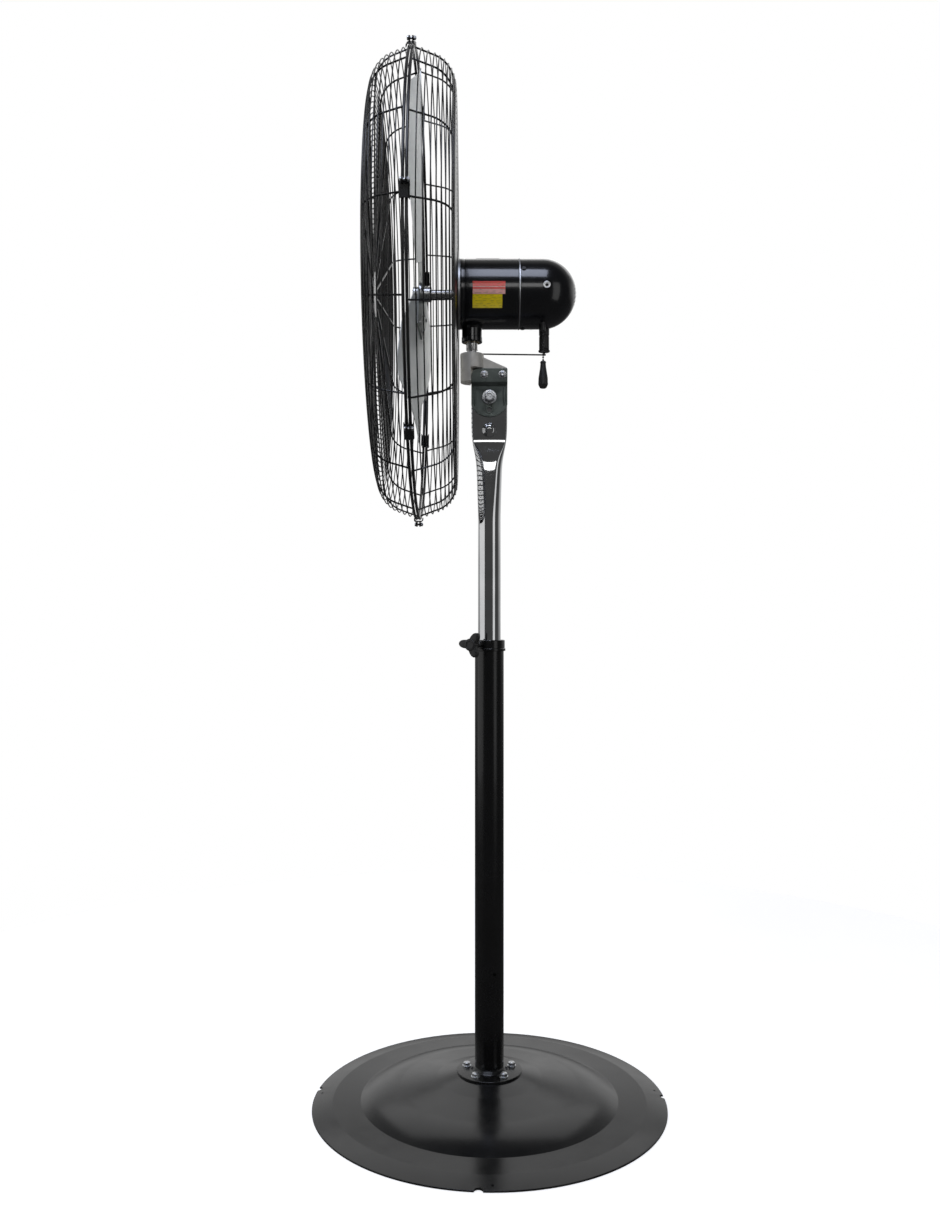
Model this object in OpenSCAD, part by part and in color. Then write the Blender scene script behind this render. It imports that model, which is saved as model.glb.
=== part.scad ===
/* [Stand] */
// Diameter of the pressed steel base
base_d = 610; // [590:2:630]
// Height of the base crown above the floor
base_h = 52; // [50:0.5:54]
// Thickness of the base sheet
base_sheet = 2.5; // [2:0.25:3]
// Outside diameter of the lower pole
pole_d = 50; // [49:0.5:51]
// Height of the top of the lower pole
pole_top = 785; // [760:5:800]
// Flange bolts that hold the pole to the base
flange_bolt_count = 5; // [4:1:6]

/* [Column] */
// Outside diameter of the sliding tube
tube_d = 39; // [38:0.5:40]
// Width of the tube where it is crushed flat
crush_w = 62.5; // [62:0.25:63]
// Height of the tilt bolt
tilt_z = 1220; // [1215:1:1225]

/* [Head] */
// Height of the fan axis
axis_z = 1399; // [1396:1:1402]
// Outside diameter of the motor
motor_d = 119; // [118:0.5:120]
// Radius of the guard rim
guard_r = 387.5; // [380:0.5:395]
// Radial wires in each guard half
rib_count = 17; // [11:2:19]
// Clips that join the two guard halves
clip_count = 7; // [5:1:9]
// Radius of the blade tips
blade_r = 360; // [345:1:362]
// Pitch of the blades
blade_pitch = 12; // [10:0.5:14]

/* [Oscillation] */
// Radius of the crank pin's circle
crank_throw = 7; // [6.5:0.1:7]

/* [Hidden] */
$fn = 48;
// Base profile
crown_r = 56.5;
crease_r = 91;
shoulder_r = 153;
trough_r = 222;
step_r = 270;
crease_z = base_h - 8.5;
shoulder_z = base_h - 19.5;
trough_z = 10;
step_z = 9;
notch_r = 7;
notch_turns = [2, 86, 172, 266];
flange_t = 4;
flange_pcd = 82;
bolt_d = 8;
// Column
pole_wall = 2.5;
bush_gap = 0.05;
tube_wall = 1.8;
tube_bottom = 240;
tube_top = 1236;
head_round = 16;
crush_start = 1000;
crush_t = 5;
crush_mid = 1128;
collar_h = 15;
knob_turn = -124;
knob_z = pole_top + 8;
tube_bolt_z = 1163;
// Tilt bracket
plate_t = 3;
plate_w = 62.5;
plate_round = 34;
plate_top = 1269;
fold_z = 1242;
arm_half = 7;
screw_z = 1258.6;
screw_x = [-9, 22.5];
pivot_d = 12;
run_gap = 0.05;
// Swivel
spindle_x = -30;
spindle_d = 20;
arm_top = 1295.5;
arm_bottom = 1245;
arm_d = 41;
neck_bottom = 1315;
neck_d = 36;
// Motor
front_x = -53.5;
seam_x = 50;
cover_x = 52.1;
dome_x = 91.5;
shell_t = 2.5;
shaft_d = 16;
// Fan
rim_x = -124.7;
rotor_tip_x = -133;
hub_x = -101;
blade_mid_x = rim_x - 4;
blade_t = 1.6;
blade_sag = 8;
blade_chord = 150;
root_r = 54;
blade_turns = [75, 195, 315];
// Guard
ring_wire = 2;
rib_wire = 3;
rim_wire = 5;
front_depth = 66;
rear_depth = 68.5;
bend_r = 50;
rim_slope = 20;
cone_rise = 12;
ring_step = 17;
rim_gap = 2.8;
clip_turn = 5.6;
clip_half = 14;
rib_turn = 4.5;
arc_count = 12;
arc_gap = 0.03;
// Oscillation
crank_x = spindle_x + 126;
crank_y = 14;
link_z = 1299;
anchor_pin_d = 3;
shaft6 = 6;
output_d = 18;
chain_x = 92;
chain_y = -21;
gland_x = 75;
gland_turn = 230;

// ---------- Stand ----------

// Points of the pan's upper face, from the rim to the centre hole
function pan_line() = [
  [base_d / 2, base_sheet], [step_r, step_z], [trough_r, trough_z], [shoulder_r, shoulder_z],
  [crease_r, crease_z], [crown_r, base_h], [12, base_h]
];

module base_pan() {
  color("#26282a")
  difference() {
    rotate_extrude($fn = 160)
      polygon([
        [base_d / 2, 0], for (p = pan_line()) p, [12, base_h - base_sheet],
        [crown_r, base_h - base_sheet], [crease_r, crease_z - base_sheet],
        [shoulder_r, shoulder_z - base_sheet], [trough_r, trough_z - base_sheet],
        [step_r, step_z - base_sheet], [base_d / 2 - 12, 0]
      ]);
    for (a = notch_turns) {
      rotate([0, 0, a])
        translate([base_d / 2, 0, -1])
          cylinder(r = notch_r, h = 12);
      rotate([0, 0, a + 4])
        translate([base_d / 2 - 12, 0, -1])
          cylinder(d = 4, h = 12, $fn = 24);
    }
    flange_holes(base_h - 20, 30);
  }
}

module flange_holes(z, h) {
  for (i = [0 : flange_bolt_count - 1])
    rotate([0, 0, 90 + i * 360 / flange_bolt_count])
      translate([flange_pcd / 2, 0, z])
        cylinder(d = bolt_d + 0.6, h = h, $fn = 32);
}

// Cast ring that follows the underside of the pan
module base_ballast() {
  gap = base_sheet + 0.3;
  thick = 14;
  inner_r = 30;
  outer_r = 190;
  outer_z = trough_z + (trough_r - outer_r) * (shoulder_z - trough_z) / (trough_r - shoulder_r);
  line = [[inner_r, base_h], [crown_r, base_h], [crease_r, crease_z], [shoulder_r, shoulder_z], [outer_r, outer_z]];
  color("#3a3a3a")
  difference() {
    rotate_extrude($fn = 96)
      polygon([
        for (p = line) [p[0], p[1] - gap],
        for (i = [len(line) - 1 : -1 : 0]) [line[i][0], line[i][1] - gap - thick]
      ]);
    flange_holes(base_h - 30, 40);
  }
}

module pole_flange() {
  color("#1c1d1e")
  difference() {
    union() {
      translate([0, 0, base_h])
        cylinder(r = crown_r, h = flange_t, $fn = 96);
      translate([0, 0, base_h + flange_t])
        cylinder(r1 = pole_d / 2 + 4, r2 = pole_d / 2 + 0.4, h = 6, $fn = 64);
    }
    translate([0, 0, base_h - 1])
      cylinder(d = pole_d + 0.02, h = 20, $fn = 64);
    flange_holes(base_h - 1, 10);
  }
}

module flange_bolts() {
  color("#c9ccd0")
  for (i = [0 : flange_bolt_count - 1])
    rotate([0, 0, 90 + i * 360 / flange_bolt_count])
      translate([flange_pcd / 2, 0, base_h + flange_t]) {
        cylinder(d = 15, h = 1.4, $fn = 32);
        translate([0, 0, 1.4])
          cylinder(d = 13, h = 5, $fn = 6);
        translate([0, 0, -34])
          cylinder(d = bolt_d, h = 34, $fn = 32);
      }
}

module flange_nuts() {
  z = base_h - base_sheet - 14.3 - 7.2;
  color("#b9bcc0")
  for (i = [0 : flange_bolt_count - 1])
    rotate([0, 0, 90 + i * 360 / flange_bolt_count])
      translate([flange_pcd / 2, 0, z])
        difference() {
          cylinder(d = 13, h = 6.8, $fn = 6);
          translate([0, 0, -1])
            cylinder(d = bolt_d + 0.04, h = 10, $fn = 32);
        }
}

module lower_pole() {
  color("#17181a")
  difference() {
    translate([0, 0, base_h + 0.2])
      cylinder(d = pole_d, h = pole_top - base_h - 0.2, $fn = 64);
    translate([0, 0, base_h])
      cylinder(d = pole_d - 2 * pole_wall, h = pole_top, $fn = 64);
    translate([9, -pole_d / 2 - 2, 227])
      rotate([-90, 0, 0])
        cylinder(d = 5, h = 8, $fn = 24);
  }
}

// Collar over the top of the pole, with the boss for the clamp screw
module pole_collar() {
  bore = tube_d + 1.2;
  color("#151617")
  difference() {
    union() {
      translate([0, 0, pole_top])
        cylinder(d = 53.5, h = collar_h, $fn = 64);
      translate([0, 0, pole_top - 4])
        cylinder(d = 56, h = 4, $fn = 64);
      translate([0, 0, knob_z])
        rotate([0, 90, knob_turn])
          cylinder(d = 11, h = 33, $fn = 32);
    }
    translate([0, 0, pole_top - 5])
      cylinder(d = pole_d + 0.04, h = 5, $fn = 64);
    translate([0, 0, pole_top - 5])
      cylinder(d = bore, h = 30, $fn = 64);
    translate([0, 0, knob_z])
      rotate([0, 90, knob_turn])
        cylinder(d = bolt_d + 0.1, h = 40, $fn = 32);
  }
}

// Plastic bush that guides the sliding tube in the mouth of the pole
module guide_bush() {
  length = 60;
  color("#e6e2d6")
  translate([0, 0, pole_top - length])
    difference() {
      cylinder(d = pole_d - 2 * pole_wall - 0.04, h = length - 0.1, $fn = 64);
      translate([0, 0, -1])
        cylinder(d = tube_d + 2 * bush_gap, h = length + 2, $fn = 64);
    }
}

module clamp_screw() {
  color("#b9bcc0")
  translate([0, 0, knob_z])
    rotate([0, 90, knob_turn])
      translate([0, 0, tube_d / 2 + 0.3])
        cylinder(d = bolt_d, h = 34, $fn = 32);
}

// Three-arm knob on the clamp screw
module clamp_knob() {
  reach = 17;
  color("#141414")
  translate([0, 0, knob_z])
    rotate([0, 90, knob_turn])
      translate([0, 0, 42])
        difference() {
          union() {
            cylinder(d1 = 16, d2 = 20, h = 8);
            translate([0, 0, 8])
              cylinder(d = 22, h = 12);
            for (a = [25, 145, 265])
              rotate([0, 0, a]) {
                translate([0, -4.5, 9])
                  cube([reach, 9, 10]);
                translate([reach, 0, 9])
                  cylinder(d = 13, h = 10, $fn = 32);
              }
          }
          translate([0, 0, -1])
            cylinder(d = bolt_d + 0.04, h = 14, $fn = 32);
        }
}

// ---------- Column ----------

function ease(t) = t <= 0 ? 0 : t >= 1 ? 1 : t * t * (3 - 2 * t);

// Width of the tube at height z: a slow swell, then a steep crush
function tube_w(z) =
  let (swell = 4 * ease((z - crush_start) / 100), steep = 1 / (1 + exp((crush_mid - z) / 12)))
  min(crush_w, tube_d + swell + (crush_w - tube_d - 4) * steep);

// Thickness that keeps the perimeter of the round tube
function tube_t(w) = max(crush_t, (PI * tube_d - 2 * w) / (PI - 2));

function tube_ring(z, count) =
  let (w = tube_w(z), t = min(w, tube_t(w)))
  [for (i = [0 : count - 1])
    let (a = (i + 0.5) * 360 / count)
    [t / 2 * cos(a) + sign(cos(a)) * (w - t) / 2, t / 2 * sin(a), z]];

module crushed_head() {
  count = 28;
  heights = [crush_start + 1, 1030, 1060, 1090, 1108, 1120, 1130, 1140, 1152, 1166, 1185, 1205, tube_top];
  root = [for (p = tube_ring(crush_start, count)) [0.96 * p[0], 0.96 * p[1], crush_start - 3]];
  rings = concat(root, [for (z = heights) each tube_ring(z, count)]);
  last = len(heights);
  polyhedron(
    points = rings,
    faces = [
      [for (i = [0 : count - 1]) i],
      for (k = [0 : last - 1], i = [0 : count - 1])
        [k * count + i, (k + 1) * count + i, (k + 1) * count + (i + 1) % count, k * count + (i + 1) % count],
      [for (i = [count - 1 : -1 : 0]) last * count + i]
    ]
  );
}

// Corner to take off the crushed head, so that the plates can tilt over it
module head_corner(side) {
  translate([side * (crush_w / 2 - head_round), 10, tube_top - head_round])
    rotate([90, 0, 0])
      linear_extrude(20)
        difference() {
          translate([side < 0 ? -head_round - 5 : 0, 0])
            square(head_round + 5);
          circle(r = head_round, $fn = 64);
        }
}

module sliding_tube() {
  color("#d8dadd")
  difference() {
    union() {
      translate([0, 0, tube_bottom])
        cylinder(d = tube_d, h = crush_start - tube_bottom, $fn = 64);
      crushed_head();
    }
    head_corner(-1);
    head_corner(1);
    translate([0, 0, tube_bottom - 1])
      cylinder(d = tube_d - 2 * tube_wall, h = crush_start - tube_bottom - 4, $fn = 64);
    cross_bore(tilt_z, pivot_d + 2 * run_gap, 30);
    cross_bore(tube_bolt_z, 10.1, 40);
  }
}

// Cylinder along Y through the middle of the tube
module cross_bore(z, d, length) {
  translate([0, length / 2, z])
    rotate([90, 0, 0])
      cylinder(d = d, h = length, $fn = 48);
}

module tube_foot() {
  color("#202020")
  translate([0, 0, tube_bottom - 12])
    difference() {
      union() {
        cylinder(d = pole_d - 2 * pole_wall - 0.1, h = 11.8, $fn = 64);
        cylinder(d = tube_d - 2 * tube_wall - 0.04, h = 30, $fn = 64);
      }
      translate([0, 0, -1])
        cylinder(d = 26, h = 40, $fn = 48);
    }
}

module tube_bolt() {
  half = tube_t(tube_w(tube_bolt_z)) / 2 + 0.6;
  color("#dfe1e4") {
    translate([0, 15, tube_bolt_z])
      rotate([90, 0, 0])
        cylinder(d = 10, h = 15 + half + 2, $fn = 48);
    translate([0, -half, tube_bolt_z])
      rotate([90, 0, 0])
        intersection() {
          cylinder(d = 24, h = 8, $fn = 48);
          translate([0, 0, -9])
            sphere(r = 15, $fn = 64);
        }
  }
}

module tube_nut() {
  half = tube_t(tube_w(tube_bolt_z)) / 2 + 0.6;
  color("#b9bcc0")
  translate([0, half, tube_bolt_z])
    rotate([-90, 0, 0])
      difference() {
        union() {
          cylinder(d = 20, h = 1.5, $fn = 40);
          translate([0, 0, 1.5])
            cylinder(d = 18, h = 7, $fn = 6);
        }
        translate([0, 0, -1])
          cylinder(d = 10.04, h = 20, $fn = 40);
      }
}

// ---------- Tilt bracket ----------

// Plate with a joggle: close to the tube below, astride the arm above
module tilt_plate(side) {
  low = crush_t / 2 + 0.4;
  corner = 12;
  top_left = -plate_w / 2 + corner;
  bottom = tilt_z - plate_round;
  joggle = 4;
  color("#7e8580")
  on_side(side)
  difference() {
    intersection() {
      rotate([90, 0, 90])
        translate([0, 0, -plate_w / 2])
          linear_extrude(plate_w)
            polygon([
              [-low, bottom - 1], [-low, fold_z - joggle], [-arm_half, fold_z + joggle], [-arm_half, plate_top],
              [-arm_half - plate_t, plate_top], [-arm_half - plate_t, fold_z + joggle - 0.5],
              [-low - plate_t, fold_z - joggle - 0.5], [-low - plate_t, bottom - 1]
            ]);
      rotate([90, 0, 0])
        linear_extrude(20)
          union() {
            intersection() {
              translate([0, tilt_z])
                circle(r = plate_round, $fn = 96);
              translate([-plate_w / 2, bottom])
                square([plate_w, plate_round * 2]);
            }
            translate([-plate_w / 2, tilt_z])
              square([plate_w, plate_top - corner - tilt_z]);
            translate([top_left, tilt_z])
              square([plate_w - corner, plate_top - tilt_z]);
            translate([top_left, plate_top - corner])
              circle(r = corner, $fn = 48);
          }
    }
    cross_bore(tilt_z, pivot_d + 0.04, 60);
    cross_bore(tilt_z - 22, 8, 60);
    for (x = screw_x)
      translate([x, 0, 0])
        cross_bore(screw_z, 6.1, 60);
  }
}

// Near plate as drawn, far plate mirrored
module on_side(side) {
  if (side > 0)
    mirror([0, 1, 0]) children();
  else
    children();
}

module tilt_plate_near() { tilt_plate(-1); }

module tilt_plate_far() { tilt_plate(1); }

module tilt_bolt() {
  face = crush_t / 2 + 0.4 + plate_t;
  color("#c3c6ca") {
    translate([0, 18.5, tilt_z])
      rotate([90, 0, 0])
        cylinder(d = pivot_d, h = 18.5 + face + 2, $fn = 48);
    translate([0, -face - 0.02, tilt_z])
      rotate([90, 0, 0]) {
        cylinder(d = 25, h = 2.2, $fn = 48);
        translate([0, 0, 2.2])
          cylinder(d = 20, h = 8, $fn = 6);
      }
  }
}

module tilt_nut() {
  face = crush_t / 2 + 0.4 + plate_t;
  color("#b9bcc0")
  translate([0, face + 0.02, tilt_z])
    rotate([-90, 0, 0])
      difference() {
        union() {
          cylinder(d = 25, h = 2.2, $fn = 48);
          translate([0, 0, 2.2])
            cylinder(d = 20, h = 9, $fn = 6);
        }
        translate([0, 0, -1])
          cylinder(d = pivot_d + 0.04, h = 20, $fn = 48);
      }
}

module bracket_screws() {
  color("#cfd2d6")
  for (x = screw_x)
    translate([x, 0, 0]) {
      cross_bore(screw_z, 6, 2 * (arm_half + plate_t) + 10);
      translate([0, -arm_half - plate_t - 0.02, screw_z])
        rotate([90, 0, 0])
          cylinder(d1 = 12, d2 = 8, h = 3.2, $fn = 32);
      translate([0, arm_half + plate_t + 0.02, screw_z])
        rotate([-90, 0, 0])
          cylinder(d = 10, h = 4.6, $fn = 6);
    }
}

// Casting: an upright barrel for the spindle and an arm between the plates
module swivel_arm() {
  end_x = plate_w / 2;
  color("#a8a49c")
  difference() {
    union() {
      translate([spindle_x, 0, arm_bottom])
        cylinder(d = arm_d, h = arm_top - arm_bottom, $fn = 64);
      translate([0, arm_half - 0.2, 0])
        rotate([90, 0, 0])
          linear_extrude(2 * arm_half - 0.4)
            polygon([
              [spindle_x, fold_z + 6], [end_x, fold_z + 6], [end_x, plate_top + 2],
              [spindle_x + 19, arm_top - 6.5], [spindle_x, arm_top - 4]
            ]);
    }
    for (side = [-1, 1])
      translate([-plate_w / 2 - 1, side > 0 ? arm_half - 0.2 : -30 - arm_half + 0.2, arm_bottom - 1])
        cube([80, 30, plate_top - arm_bottom + 1.5]);
    for (x = screw_x)
      translate([x, 0, 0])
        cross_bore(screw_z, 6.1, 60);
    translate([spindle_x, 0, plate_top + 2])
      cylinder(d = spindle_d + 0.02, h = 80, $fn = 64);
    translate([spindle_x, crank_y, arm_top - 8])
      cylinder(d = anchor_pin_d + 0.04, h = 20, $fn = 24);
  }
}

// Pressed into the casting, with a waist that the link rod swings past
module spindle() {
  foot = plate_top + 2.2;
  waist_low = arm_top + 0.8;
  waist_high = waist_low + 5.4;
  color("#b4b6b8")
  translate([spindle_x, 0, 0]) {
    translate([0, 0, foot])
      cylinder(d = spindle_d, h = waist_low - foot, $fn = 64);
    translate([0, 0, foot])
      cylinder(d = spindle_d - 2.8, h = waist_high + 1 - foot, $fn = 64);
    translate([0, 0, waist_high])
      cylinder(d = spindle_d, h = neck_bottom + 21 - waist_high, $fn = 64);
  }
}

// Headed pin, pressed into the casting, that the link rod turns on
module link_anchor() {
  color("#1a1a1a")
  translate([spindle_x, crank_y, 0]) {
    translate([0, 0, arm_top - 7.8])
      cylinder(d = anchor_pin_d, h = link_z + 1.8 - arm_top + 7.8, $fn = 24);
    translate([0, 0, arm_top + 0.02])
      cylinder(d = 6, h = link_z - 1.5 - arm_top, $fn = 32);
    translate([0, 0, link_z + 1.1])
      cylinder(d = 5, h = 0.9, $fn = 32);
  }
}

// ---------- Oscillating head ----------

// Black boss under the drum that turns on the spindle
module swivel_neck() {
  color("#161616")
  difference() {
    translate([spindle_x, 0, neck_bottom])
      cylinder(d = neck_d, h = axis_z - motor_d / 2 - neck_bottom + 4, $fn = 64);
    along_x(front_x, 80, motor_d + 0.2);
    translate([spindle_x, 0, neck_bottom - 1])
      cylinder(d = 26, h = 23, $fn = 64);
  }
}

module along_x(x, length, d) {
  translate([x, 0, axis_z])
    rotate([0, 90, 0])
      cylinder(d = d, h = length, $fn = 96);
}

module spindle_bush() {
  color("#b08d3e")
  translate([spindle_x, 0, neck_bottom + 0.2])
    difference() {
      cylinder(d = 25.96, h = 20.4, $fn = 64);
      translate([0, 0, -1])
        cylinder(d = spindle_d + 2 * run_gap, h = 30, $fn = 64);
    }
}

module motor_drum() {
  color("#101113")
  difference() {
    along_x(front_x + 3.5, seam_x - front_x - 3.5, motor_d);
    along_x(front_x, seam_x - front_x + 10, motor_d - 2 * shell_t);
  }
}

// Place things on a circle about the fan axis
module around(count, r, turn = 45) {
  for (i = [0 : count - 1])
    translate([0, 0, axis_z])
      rotate([turn + i * 360 / count, 0, 0])
        translate([0, 0, r - axis_z])
          children();
}

module front_end_plate() {
  color("#c6c8cb")
  difference() {
    union() {
      along_x(front_x, 3.4, motor_d);
      along_x(front_x + 3.4, 13, 50);
    }
    along_x(front_x - 1, 30, shaft_d + 1);
    along_x(front_x + 4.5, 20, 40.04);
    around(4, 54.3) along_x(front_x - 1, 10, 4.4);
    around(4, 40, 0) along_x(front_x - 1, 10, 5.1);
  }
}

module rear_end_plate() {
  color("#c6c8cb")
  difference() {
    union() {
      along_x(seam_x + 0.1, 1.9, motor_d + 0.6);
      along_x(seam_x - 13, 13.1, 50);
    }
    along_x(seam_x - 14, 30, shaft_d + 1);
    along_x(seam_x - 14, 13, 40.04);
    around(4, 54.3) along_x(seam_x - 1, 10, 4.4);
  }
}

// Domed rear cover, with vent holes in rings about its end
module rear_cover() {
  outer = motor_d / 2 - 0.2;
  inner = outer - shell_t;
  length = dome_x - cover_x;
  color("#101113")
  difference() {
    translate([cover_x, 0, axis_z])
      rotate([0, 90, 0])
        rotate_extrude($fn = 96) {
          translate([inner, 0])
            square([shell_t, length]);
          translate([0, length])
            intersection() {
              difference() {
                circle(r = outer, $fn = 96);
                circle(r = inner, $fn = 96);
              }
              square([outer + 1, outer + 1]);
            }
        }
    for (ring = [1 : 3])
      for (i = [0 : 6 * ring - 1])
        translate([0, 0, axis_z])
          rotate([i * 60 / ring, 0, 0])
            translate([dome_x + 30, 0, 7 * ring])
              rotate([0, 90, 0])
                cylinder(d = 3, h = 50, $fn = 16);
    translate([crank_x, crank_y, axis_z - 90])
      cylinder(d = output_d + 0.6, h = 80, $fn = 48);
    translate([chain_x, chain_y, axis_z - 90])
      cylinder(d = 8.6, h = 80, $fn = 32);
    translate([crank_x, -40, axis_z])
      rotate([90, 0, 0])
        cylinder(d = 9.2, h = 40, $fn = 32);
    translate([gland_x, 0, axis_z])
      rotate([gland_turn, 0, 0])
        translate([0, 0, 40])
          cylinder(d = 12.4, h = 40, $fn = 32);
    around(3, 61, 60) translate([57.5, 0, axis_z]) cylinder(d = 4.1, h = 12, center = true, $fn = 24);
  }
}

module cover_screws() {
  color("#2a2a2a")
  around(3, motor_d / 2 - 0.15, 60)
    translate([57.5, 0, axis_z]) {
      cylinder(d = 7, h = 1.6, $fn = 24);
      translate([0, 0, -6])
        cylinder(d = 4, h = 6, $fn = 24);
    }
}

module stator_core() {
  color("#8d8f92")
  difference() {
    along_x(-20, 50, 104);
    along_x(-21, 52, 66);
  }
}

module stator_windings() {
  color("#b5652c")
  for (x = [-33, 30.2])
    difference() {
      along_x(x, 12.8, 98);
      along_x(x - 1, 16, 72);
    }
}

module through_bolts() {
  color("#b9bcc0")
  around(4, 54.3) {
    along_x(front_x + 0.1, seam_x - front_x + 7, 4);
    along_x(seam_x + 2.2, 3, 5.5);
  }
}

module bearings() {
  color("#c9ccd0")
  for (x = [front_x + 4.6, seam_x - 12.9])
    difference() {
      along_x(x, 11.6, 40);
      along_x(x - 1, 20, shaft_d + 2 * run_gap);
    }
}

module capacitor() {
  color("#3b3b3f")
  translate([62, 0, axis_z + 33])
    rotate([0, 90, 0])
      cylinder(d = 28, h = 42, $fn = 48);
}

// Gearbox body, with the output housing that stands out under the cover
module gearbox() {
  color("#151515")
  difference() {
    union() {
      translate([66, -14, 1366])
        cube([48, 42, 46]);
      translate([crank_x, crank_y, 1306])
        cylinder(d = output_d, h = 62, $fn = 48);
    }
    translate([60, -10, 1386])
      cube([50, 34, 22]);
    translate([crank_x, crank_y, 1300])
      cylinder(d = shaft6 + 2 * run_gap, h = 90, $fn = 32);
  }
}

// Switch body inside the cover and the nipple that the chain leaves by
module pull_switch() {
  color("#1b1b1b")
  translate([chain_x, chain_y, 0])
    difference() {
      union() {
        translate([-9, -11, 1356])
          cube([22, 16.5, 22]);
        translate([0, 0, 1331])
          cylinder(d = 8, h = 26, $fn = 32);
      }
      translate([0, 0, 1330])
        cylinder(d = 5, h = 30, $fn = 24);
    }
}

// Rubber gland for the supply cord, on the far side of the cover
module cord_gland() {
  color("#111111")
  translate([gland_x, 0, axis_z])
    rotate([gland_turn, 0, 0])
      difference() {
        union() {
          translate([0, 0, 54])
            cylinder(d = 12, h = 16, $fn = 32);
          translate([0, 0, motor_d / 2 + 0.1])
            cylinder(d = 16, h = 2.4, $fn = 32);
        }
        translate([0, 0, 50])
          cylinder(d = 7, h = 30, $fn = 24);
      }
}

// Plugged hole in the side of the rear cover
module side_plug() {
  color("#8d9092")
  translate([crank_x, 0, axis_z])
    rotate([90, 0, 0])
      difference() {
        union() {
          translate([0, 0, 52])
            cylinder(d = 9, h = 8, $fn = 32);
          translate([0, 0, motor_d / 2])
            cylinder(d = 12.5, h = 1.6, $fn = 40);
        }
        translate([0, 0, 56])
          cylinder(d = 6, h = 20, $fn = 6);
      }
}

// Blank labels: thin curved skins on the drum
module labels() {
  color("#d7a63a") {
    skin(-29, 55, 1384, 1405);
    skin(-29, 50, 1363, 1383.4);
    difference() {
      along_x(-23, 40, motor_d + 0.7);
      along_x(-24, 42, motor_d + 0.1);
      translate([-50, -100, axis_z - 100])
        cube([100, 200, 156]);
    }
  }
}

// Part of a thin tube round the drum on the near side, between two heights
module skin(x, width, low, high) {
  difference() {
    along_x(x, width, motor_d + 0.7);
    along_x(x - 1, width + 2, motor_d + 0.1);
    translate([x - 5, -100, low - 100])
      cube([width + 10, 200, 100]);
    translate([x - 5, -100, high])
      cube([width + 10, 200, 100]);
    translate([x - 5, 0, low - 100])
      cube([width + 10, 100, 300]);
  }
}

// ---------- Guard ----------

module guard_plate() {
  color("#17181a")
  difference() {
    along_x(front_x - 3.6, 3.5, 150);
    along_x(front_x - 5, 10, 60);
    around(4, 40, 0) along_x(front_x - 5, 10, 5.1);
  }
}

module guard_plate_screws() {
  color("#b9bcc0")
  around(4, 40, 0) {
    along_x(front_x - 6.1, 2.48, 9);
    along_x(front_x - 3.6, 8, 5);
  }
}

// Whole ring about the fan axis at offset x from the rim plane
module ring(x, r, wire) {
  translate([rim_x + x, 0, axis_z])
    rotate([0, 90, 0])
      rotate_extrude($fn = 120)
        translate([r, 0])
          circle(d = wire, $fn = 16);
}

// The same ring in twelve arcs, butted end to end
module ring_arcs(x, r, wire) {
  span = 360 / arc_count - arc_gap;
  for (i = [0 : arc_count - 1])
    translate([rim_x + x, 0, axis_z])
      rotate([0, 90, 0])
        rotate([0, 0, i * 360 / arc_count])
          rotate_extrude(angle = span, $fn = 120)
            translate([r, 0])
              circle(d = wire, $fn = 16);
}

// side: -1 for the front half, 1 for the rear half
function face_depth(side, r) =
  side < 0 ? -front_depth - cone_rise * (1 - r / face_edge(side)) : rear_depth;

function bend_x(side) = side < 0 ? -front_depth + bend_r : rear_depth - bend_r;

// Radius at which the face ends and the bend begins
function face_edge(side) =
  guard_r - bend_r * cos(rim_slope)
  - (abs(bend_x(side)) + bend_r * sin(rim_slope) - rim_gap) * tan(rim_slope);

module face_rings(side, first_r) {
  last_r = face_edge(side);
  count = round((last_r - first_r) / ring_step);
  for (i = [0 : count]) {
    r = first_r + i * (last_r - first_r) / count;
    ring(face_depth(side, r), r, ring_wire);
  }
  ring(bend_x(side) + side * bend_r * cos(22.5), last_r + bend_r * sin(22.5), ring_wire);
}

module side_rings(side) {
  for (a = [45, 67.5])
    ring_arcs(bend_x(side) + side * bend_r * cos(a), face_edge(side) + bend_r * sin(a), ring_wire);
  ring_arcs(side * rim_gap, guard_r, rim_wire);
}

// One bent wire: straight over the face, a bend, a straight slope up to the rim
module rib(side, first_r) {
  inner = bend_r - (ring_wire + rib_wire) / 2 + 0.3;
  last_r = face_edge(side);
  slope = side < 0 ? atan(cone_rise / last_r) : 0;
  length = (last_r + inner * sin(slope) - first_r) / cos(slope);
  bend = bend_x(side);
  rise = (abs(bend) + inner * sin(rim_slope) - rim_gap) / cos(rim_slope);
  translate([rim_x + bend, 0, last_r]) {
    rotate([90, 0, 0])
      rotate([0, 0, side < 0 ? 90 + rim_slope : slope])
        rotate_extrude(angle = 90 - rim_slope - slope, $fn = 64)
          translate([inner, 0])
            circle(d = rib_wire, $fn = 16);
    translate([side * inner * cos(slope), 0, inner * sin(slope)]) {
      sphere(d = rib_wire + 0.4, $fn = 16);
      rotate([0, 180 - side * slope, 0])
        cylinder(d = rib_wire, h = length, $fn = 16);
    }
    translate([side * inner * sin(rim_slope), 0, inner * cos(rim_slope)]) {
      sphere(d = rib_wire + 0.4, $fn = 16);
      rotate([0, -side * (90 - rim_slope), 0])
        cylinder(d = rib_wire, h = rise, $fn = 16);
    }
  }
}

module ribs(side, first_r, turn) {
  for (i = [0 : rib_count - 1])
    translate([0, 0, axis_z])
      rotate([90 - turn - i * 360 / rib_count, 0, 0])
        rib(side, first_r);
}

module rear_rings() { color("#1a1b1d") face_rings(1, 84); }

module rear_side_rings() { color("#1a1b1d") side_rings(1); }

module rear_ribs() { color("#1a1b1d") ribs(1, 62, rib_turn); }

module front_rings() { color("#1a1b1d") face_rings(-1, 50); }

module front_side_rings() { color("#1a1b1d") side_rings(-1); }

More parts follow.
